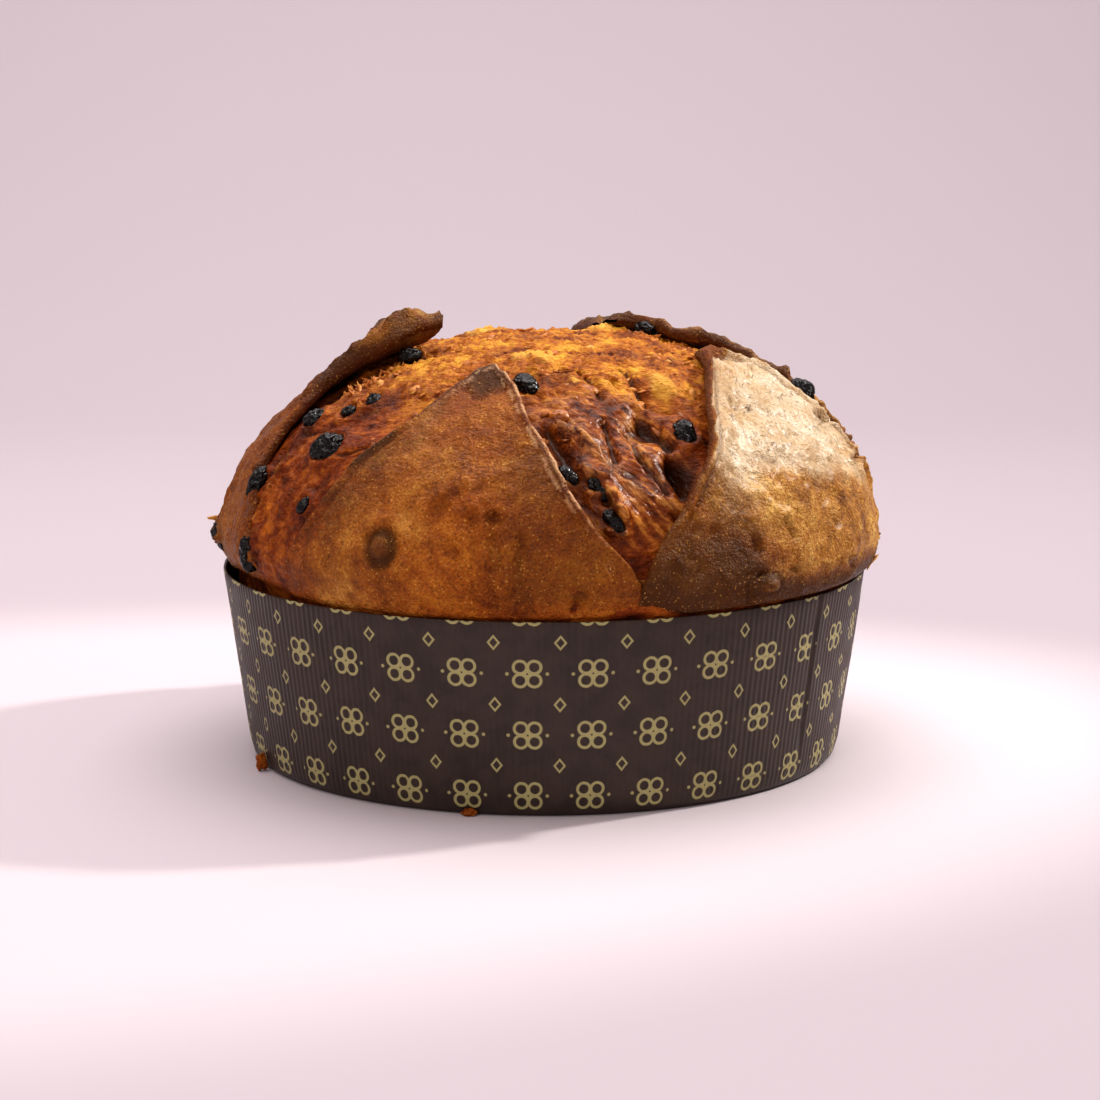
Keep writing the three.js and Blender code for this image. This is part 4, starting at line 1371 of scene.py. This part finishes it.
def fruit_piece(name, node, spec, wrinkle, finish):
    basis, half = fruit_basis(spec)
    fruit = bmesh.new()
    bmesh.ops.create_icosphere(fruit, subdivisions=5, radius=1)
    seed = Vector((spec[0], spec[1] * 50, spec[2]))
    for vert in fruit.verts:
        body = sized(vert.co, half)
        fold = 1 - abs(noise.fractal(body / 3 + seed, 1, 2, 3)) * 1.8
        dent = noise.noise(body / 4.2 + seed * 0.7)
        size = 0.97 + wrinkle * (0.2 * (fold - 0.75) + 0.2 * dent)
        vert.co = basis @ (body * size)
    piece = finish_mesh(fruit, name)
    piece.data.materials.append(finish)
    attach(piece, "root")
    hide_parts(node)


print("first raisin stands at", fruit_basis(RAISINS[0])[0].translation)

# %% [markdown]
# A raisin's skin is almost black, and glossy where it is stretched over a wrinkle. Peel has soaked in syrup,
# so light goes a little way into it: that is what subsurface is for, with a radius of a few millimetres.

# %% The fruit's finishes
dried = Finish("raisin skin")
dust = dried.cloud(1.4, 3, 0.6)
dried_colour = dried.mix(dust.ease(0.45, 0.8), (0.005, 0.003, 0.003), (0.016, 0.01, 0.008))
dried.shade(
    Base_Color=dried_colour,
    Roughness=dust.ease(0.35, 0.7, 0.12, 0.3),
    Specular_IOR_Level=0.3,
    Normal=dried.bump(dried.cloud(0.9, 3, 0.6), 0.25, 0.35),
)
candied = Finish("candied peel")
syrup = candied.cloud(3, 3, 0.5).ease(0.35, 0.65)
candied_colour = candied.mix(syrup, (0.26, 0.06, 0.006), (0.52, 0.19, 0.02))
candied.shade(
    Base_Color=candied_colour,
    Roughness=0.34,
    Normal=candied.bump(candied.cloud(1.2, 2, 0.5), 0.3, 0.6),
    Subsurface_Weight=0.2,
    Subsurface_Radius=(0.004, 0.002, 0.001),
)
print("fruit finishes", dried.material.name, candied.material.name)

# %% [markdown]
# Each raisin and each piece of peel stays a piece of its own, and its CAD node is hidden.

# %% Place the fruit
for number, spec in enumerate(RAISINS, 1):
    fruit_piece(f"raisin_skin_{number:02d}", f"raisin_{number:02d}", spec, 1.0, dried.material)
for number, spec in enumerate(PEELS, 1):
    fruit_piece(f"peel_flesh_{number}", f"candied_peel_{number}", spec, 0.5, candied.material)
print("raisins", len(RAISINS), "peel", len(PEELS))

# %% [markdown]
# ## The paper case
# The case is one strip of paper with a fluted face, closed round a paper disc and folded in at the foot.
# The flutes stiffen it. They are real here: the wall's radius waves in and out about three hundred times
# on its way round.

# %% The case's shape
FLUTES = 292
FLUTE_DEPTH = 0.1
FLUTE_STEPS = 8


def case_profile():
    """(radius, height, share of the flutes' depth), from the middle below, over the rim and back inside."""
    lean = math.atan2(RIM_RADIUS - BASE_RADIUS, CASE_HEIGHT)
    centre = BASE_RADIUS - FOOT_RADIUS
    rows = [(0, 0, 0), (70, 0, 0), (centre, 0.1, 0)]
    for step in range(1, 5):
        angle = -math.pi / 2 + (math.pi / 2 - lean) * step / 4
        out, up = FOOT_RADIUS * math.cos(angle), FOOT_RADIUS * (1 + math.sin(angle))
        rows.append((centre + out, up, 0.3 * step / 4))
    rows += [(wall(z), z, 1) for z in (6, 12, 20, 28, 36, 44, 52, 59, 64, 66.6)]
    rows += [(wall(66.9) - 0.15, 66.95, 1), (wall(66.9) - 0.85, 66.95, 1)]
    rows += [(wall(z) - PAPER, z, 1) for z in (66.6, 60, 50, 30, 8)]
    rows += [(centre, PAPER, 0), (0, PAPER, 0)]
    return np.array(rows)


profile = case_profile()
case_columns = FLUTES * FLUTE_STEPS
case_shell, row, column = sewn_grid(len(profile), case_columns)
angle = 2 * np.pi * column / case_columns - np.pi
radius, height, share = profile[row].T
case_direction = np.degrees(angle)
wave = np.cos(FLUTES * angle)
soft = np.array([noise.fractal(Vector((d / 14, h / 30, 2)), 1, 2, 2) for d, h in zip(case_direction, height)])
dent = 0.9 * bell(turn(-35.5, case_direction), 0.8) * smooth(height, 8, 16)
buckle = 0.35 * soft * smooth(height, 5, 30)
radius = radius + share * (FLUTE_DEPTH * wave - dent + buckle)
put(case_shell, np.stack([radius * np.cos(angle), radius * np.sin(angle), height], -1))
# The wall unrolled as a flat sheet; one unit of it is 100 mm, and the inside lies four units lower
SHEET_UNIT = 100
INSIDE_SHIFT = 4
sheet = case_shell.loops.layers.uv.new("sheet")
case_shell.verts.index_update()
around = case_direction * math.pi / 180 * wall(CASE_HEIGHT / 2)
for face in case_shell.faces:
    for loop in face.loops:
        k = loop.vert.index
        inside = INSIDE_SHIFT if radius[k] < wall(height[k]) - PAPER / 2 else 0
        loop[sheet].uv = (around[k] / SHEET_UNIT, height[k] / SHEET_UNIT - inside)
case = finish_mesh(case_shell, "fluted_case")
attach(case, "root")
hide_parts("paper_case")
print("case faces", len(case.data.polygons))

# %% [markdown]
# ### Printed paper
# The paper is dark brown with a pale gold print: rosettes of four rings in straight rows, with a small
# lozenge in each gap. The pattern lies on the wall's flat sheet, measured in millimetres.

# %% The paper's finish
printed = Finish("printed paper")
uv = printed.node("ShaderNodeUVMap", {"uv_map": "sheet"})
parts = printed.node("ShaderNodeSeparateXYZ", ins={0: uv})
sheet_u = Wire(printed, parts.socket.node.outputs["X"]) * SHEET_UNIT
sheet_v = Wire(printed, parts.socket.node.outputs["Y"]) * SHEET_UNIT
REPEAT = 21.0
STROKE = 0.46
ROW_SHIFT = 3
# Whole repeats added before the remainder is taken, so that it is never that of a negative number
AHEAD = 400 * REPEAT


def in_cell(value, offset):
    """Distance from the middle of a repeating cell."""
    return abs(((value + offset) / REPEAT).fract() - 0.5) * REPEAT


def stroke(distance, middle, width=STROKE):
    return 1 - abs(distance - middle).ease(width * 0.7, width * 1.4)


cell_x = in_cell(sheet_u, AHEAD)
cell_y = in_cell(sheet_v, AHEAD + ROW_SHIFT)
diagonal = (cell_x + cell_y) * math.sqrt(0.5)
across = (cell_x - cell_y) * math.sqrt(0.5)
petal = ((diagonal - 3.2) ** 2 + across**2) ** 0.5
middle = (cell_x**2 + cell_y**2) ** 0.5
rosette = stroke(petal, 2.1).most(stroke(middle, 0.8))
dots = 1 - (((cell_x - 6.4) ** 2 + cell_y**2) ** 0.5).ease(0.4, 0.75)
gap_x = in_cell(sheet_u, AHEAD + REPEAT / 2)
gap_y = in_cell(sheet_v, AHEAD + REPEAT / 2 + ROW_SHIFT)
lozenge = stroke(gap_x + gap_y * 0.8, 1.7, 0.4)
ink = rosette.most(dots).most(lozenge) * (sheet_v.ease(-1.0, 0.5))
fibre_cloud = printed.cloud(0.8, 3, 0.7)
wear = printed.cloud(9, 3, 0.6)
worn_ink = ink * (fibre_cloud * 0.5 + 0.72).least(1.0)
paper_brown = printed.mix(wear.ease(0.3, 0.7), (0.03, 0.017, 0.012), (0.05, 0.03, 0.021))
paper_colour = printed.mix(worn_ink * 0.9, paper_brown, (0.44, 0.39, 0.17))
printed.shade(
    Base_Color=paper_colour,
    Roughness=wear.ease(0.3, 0.7, 0.34, 0.48),
    Normal=printed.bump(fibre_cloud, 0.12, 0.5),
    Specular_IOR_Level=0.4,
)
case.data.materials.append(printed.material)
print("nodes of the printed paper", len(printed.tree.nodes))

# %% [markdown]
# ## Crumbs at the foot
# Two browned crumbs fell and stuck at the foot of the case. They are lumps a few millimetres across.

# %% Crumbs


def crumb_lump(name, place_mm, size, seed):
    lump = bmesh.new()
    bmesh.ops.create_icosphere(lump, subdivisions=4, radius=1)
    for vert in lump.verts:
        knobs = 1 + 0.45 * noise.fractal(vert.co * 1.4 + Vector((seed, 0, 0)), 1, 2, 3)
        vert.co = Vector(place_mm) + sized(vert.co, size) * knobs
        vert.co.z = max(vert.co.z, 0.02)
    piece = finish_mesh(lump, name)
    piece.data.materials.append(baked.material)
    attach(piece, "root")


# Place and half sizes in millimetres, and a seed for the lumps
FOOT_CRUMBS = {
    "foot_crumb_left": ((-98.6, -44.5, 3.2), (2.0, 1.8, 3.0), 3.0),
    "foot_crumb_front": ((-24.5, -103.6, 1.2), (2.4, 1.6, 1.2), 8.0),
}
for crumb_name, crumb_sizes in FOOT_CRUMBS.items():
    crumb_lump(crumb_name, *crumb_sizes)
print("foot crumbs", list(FOOT_CRUMBS))
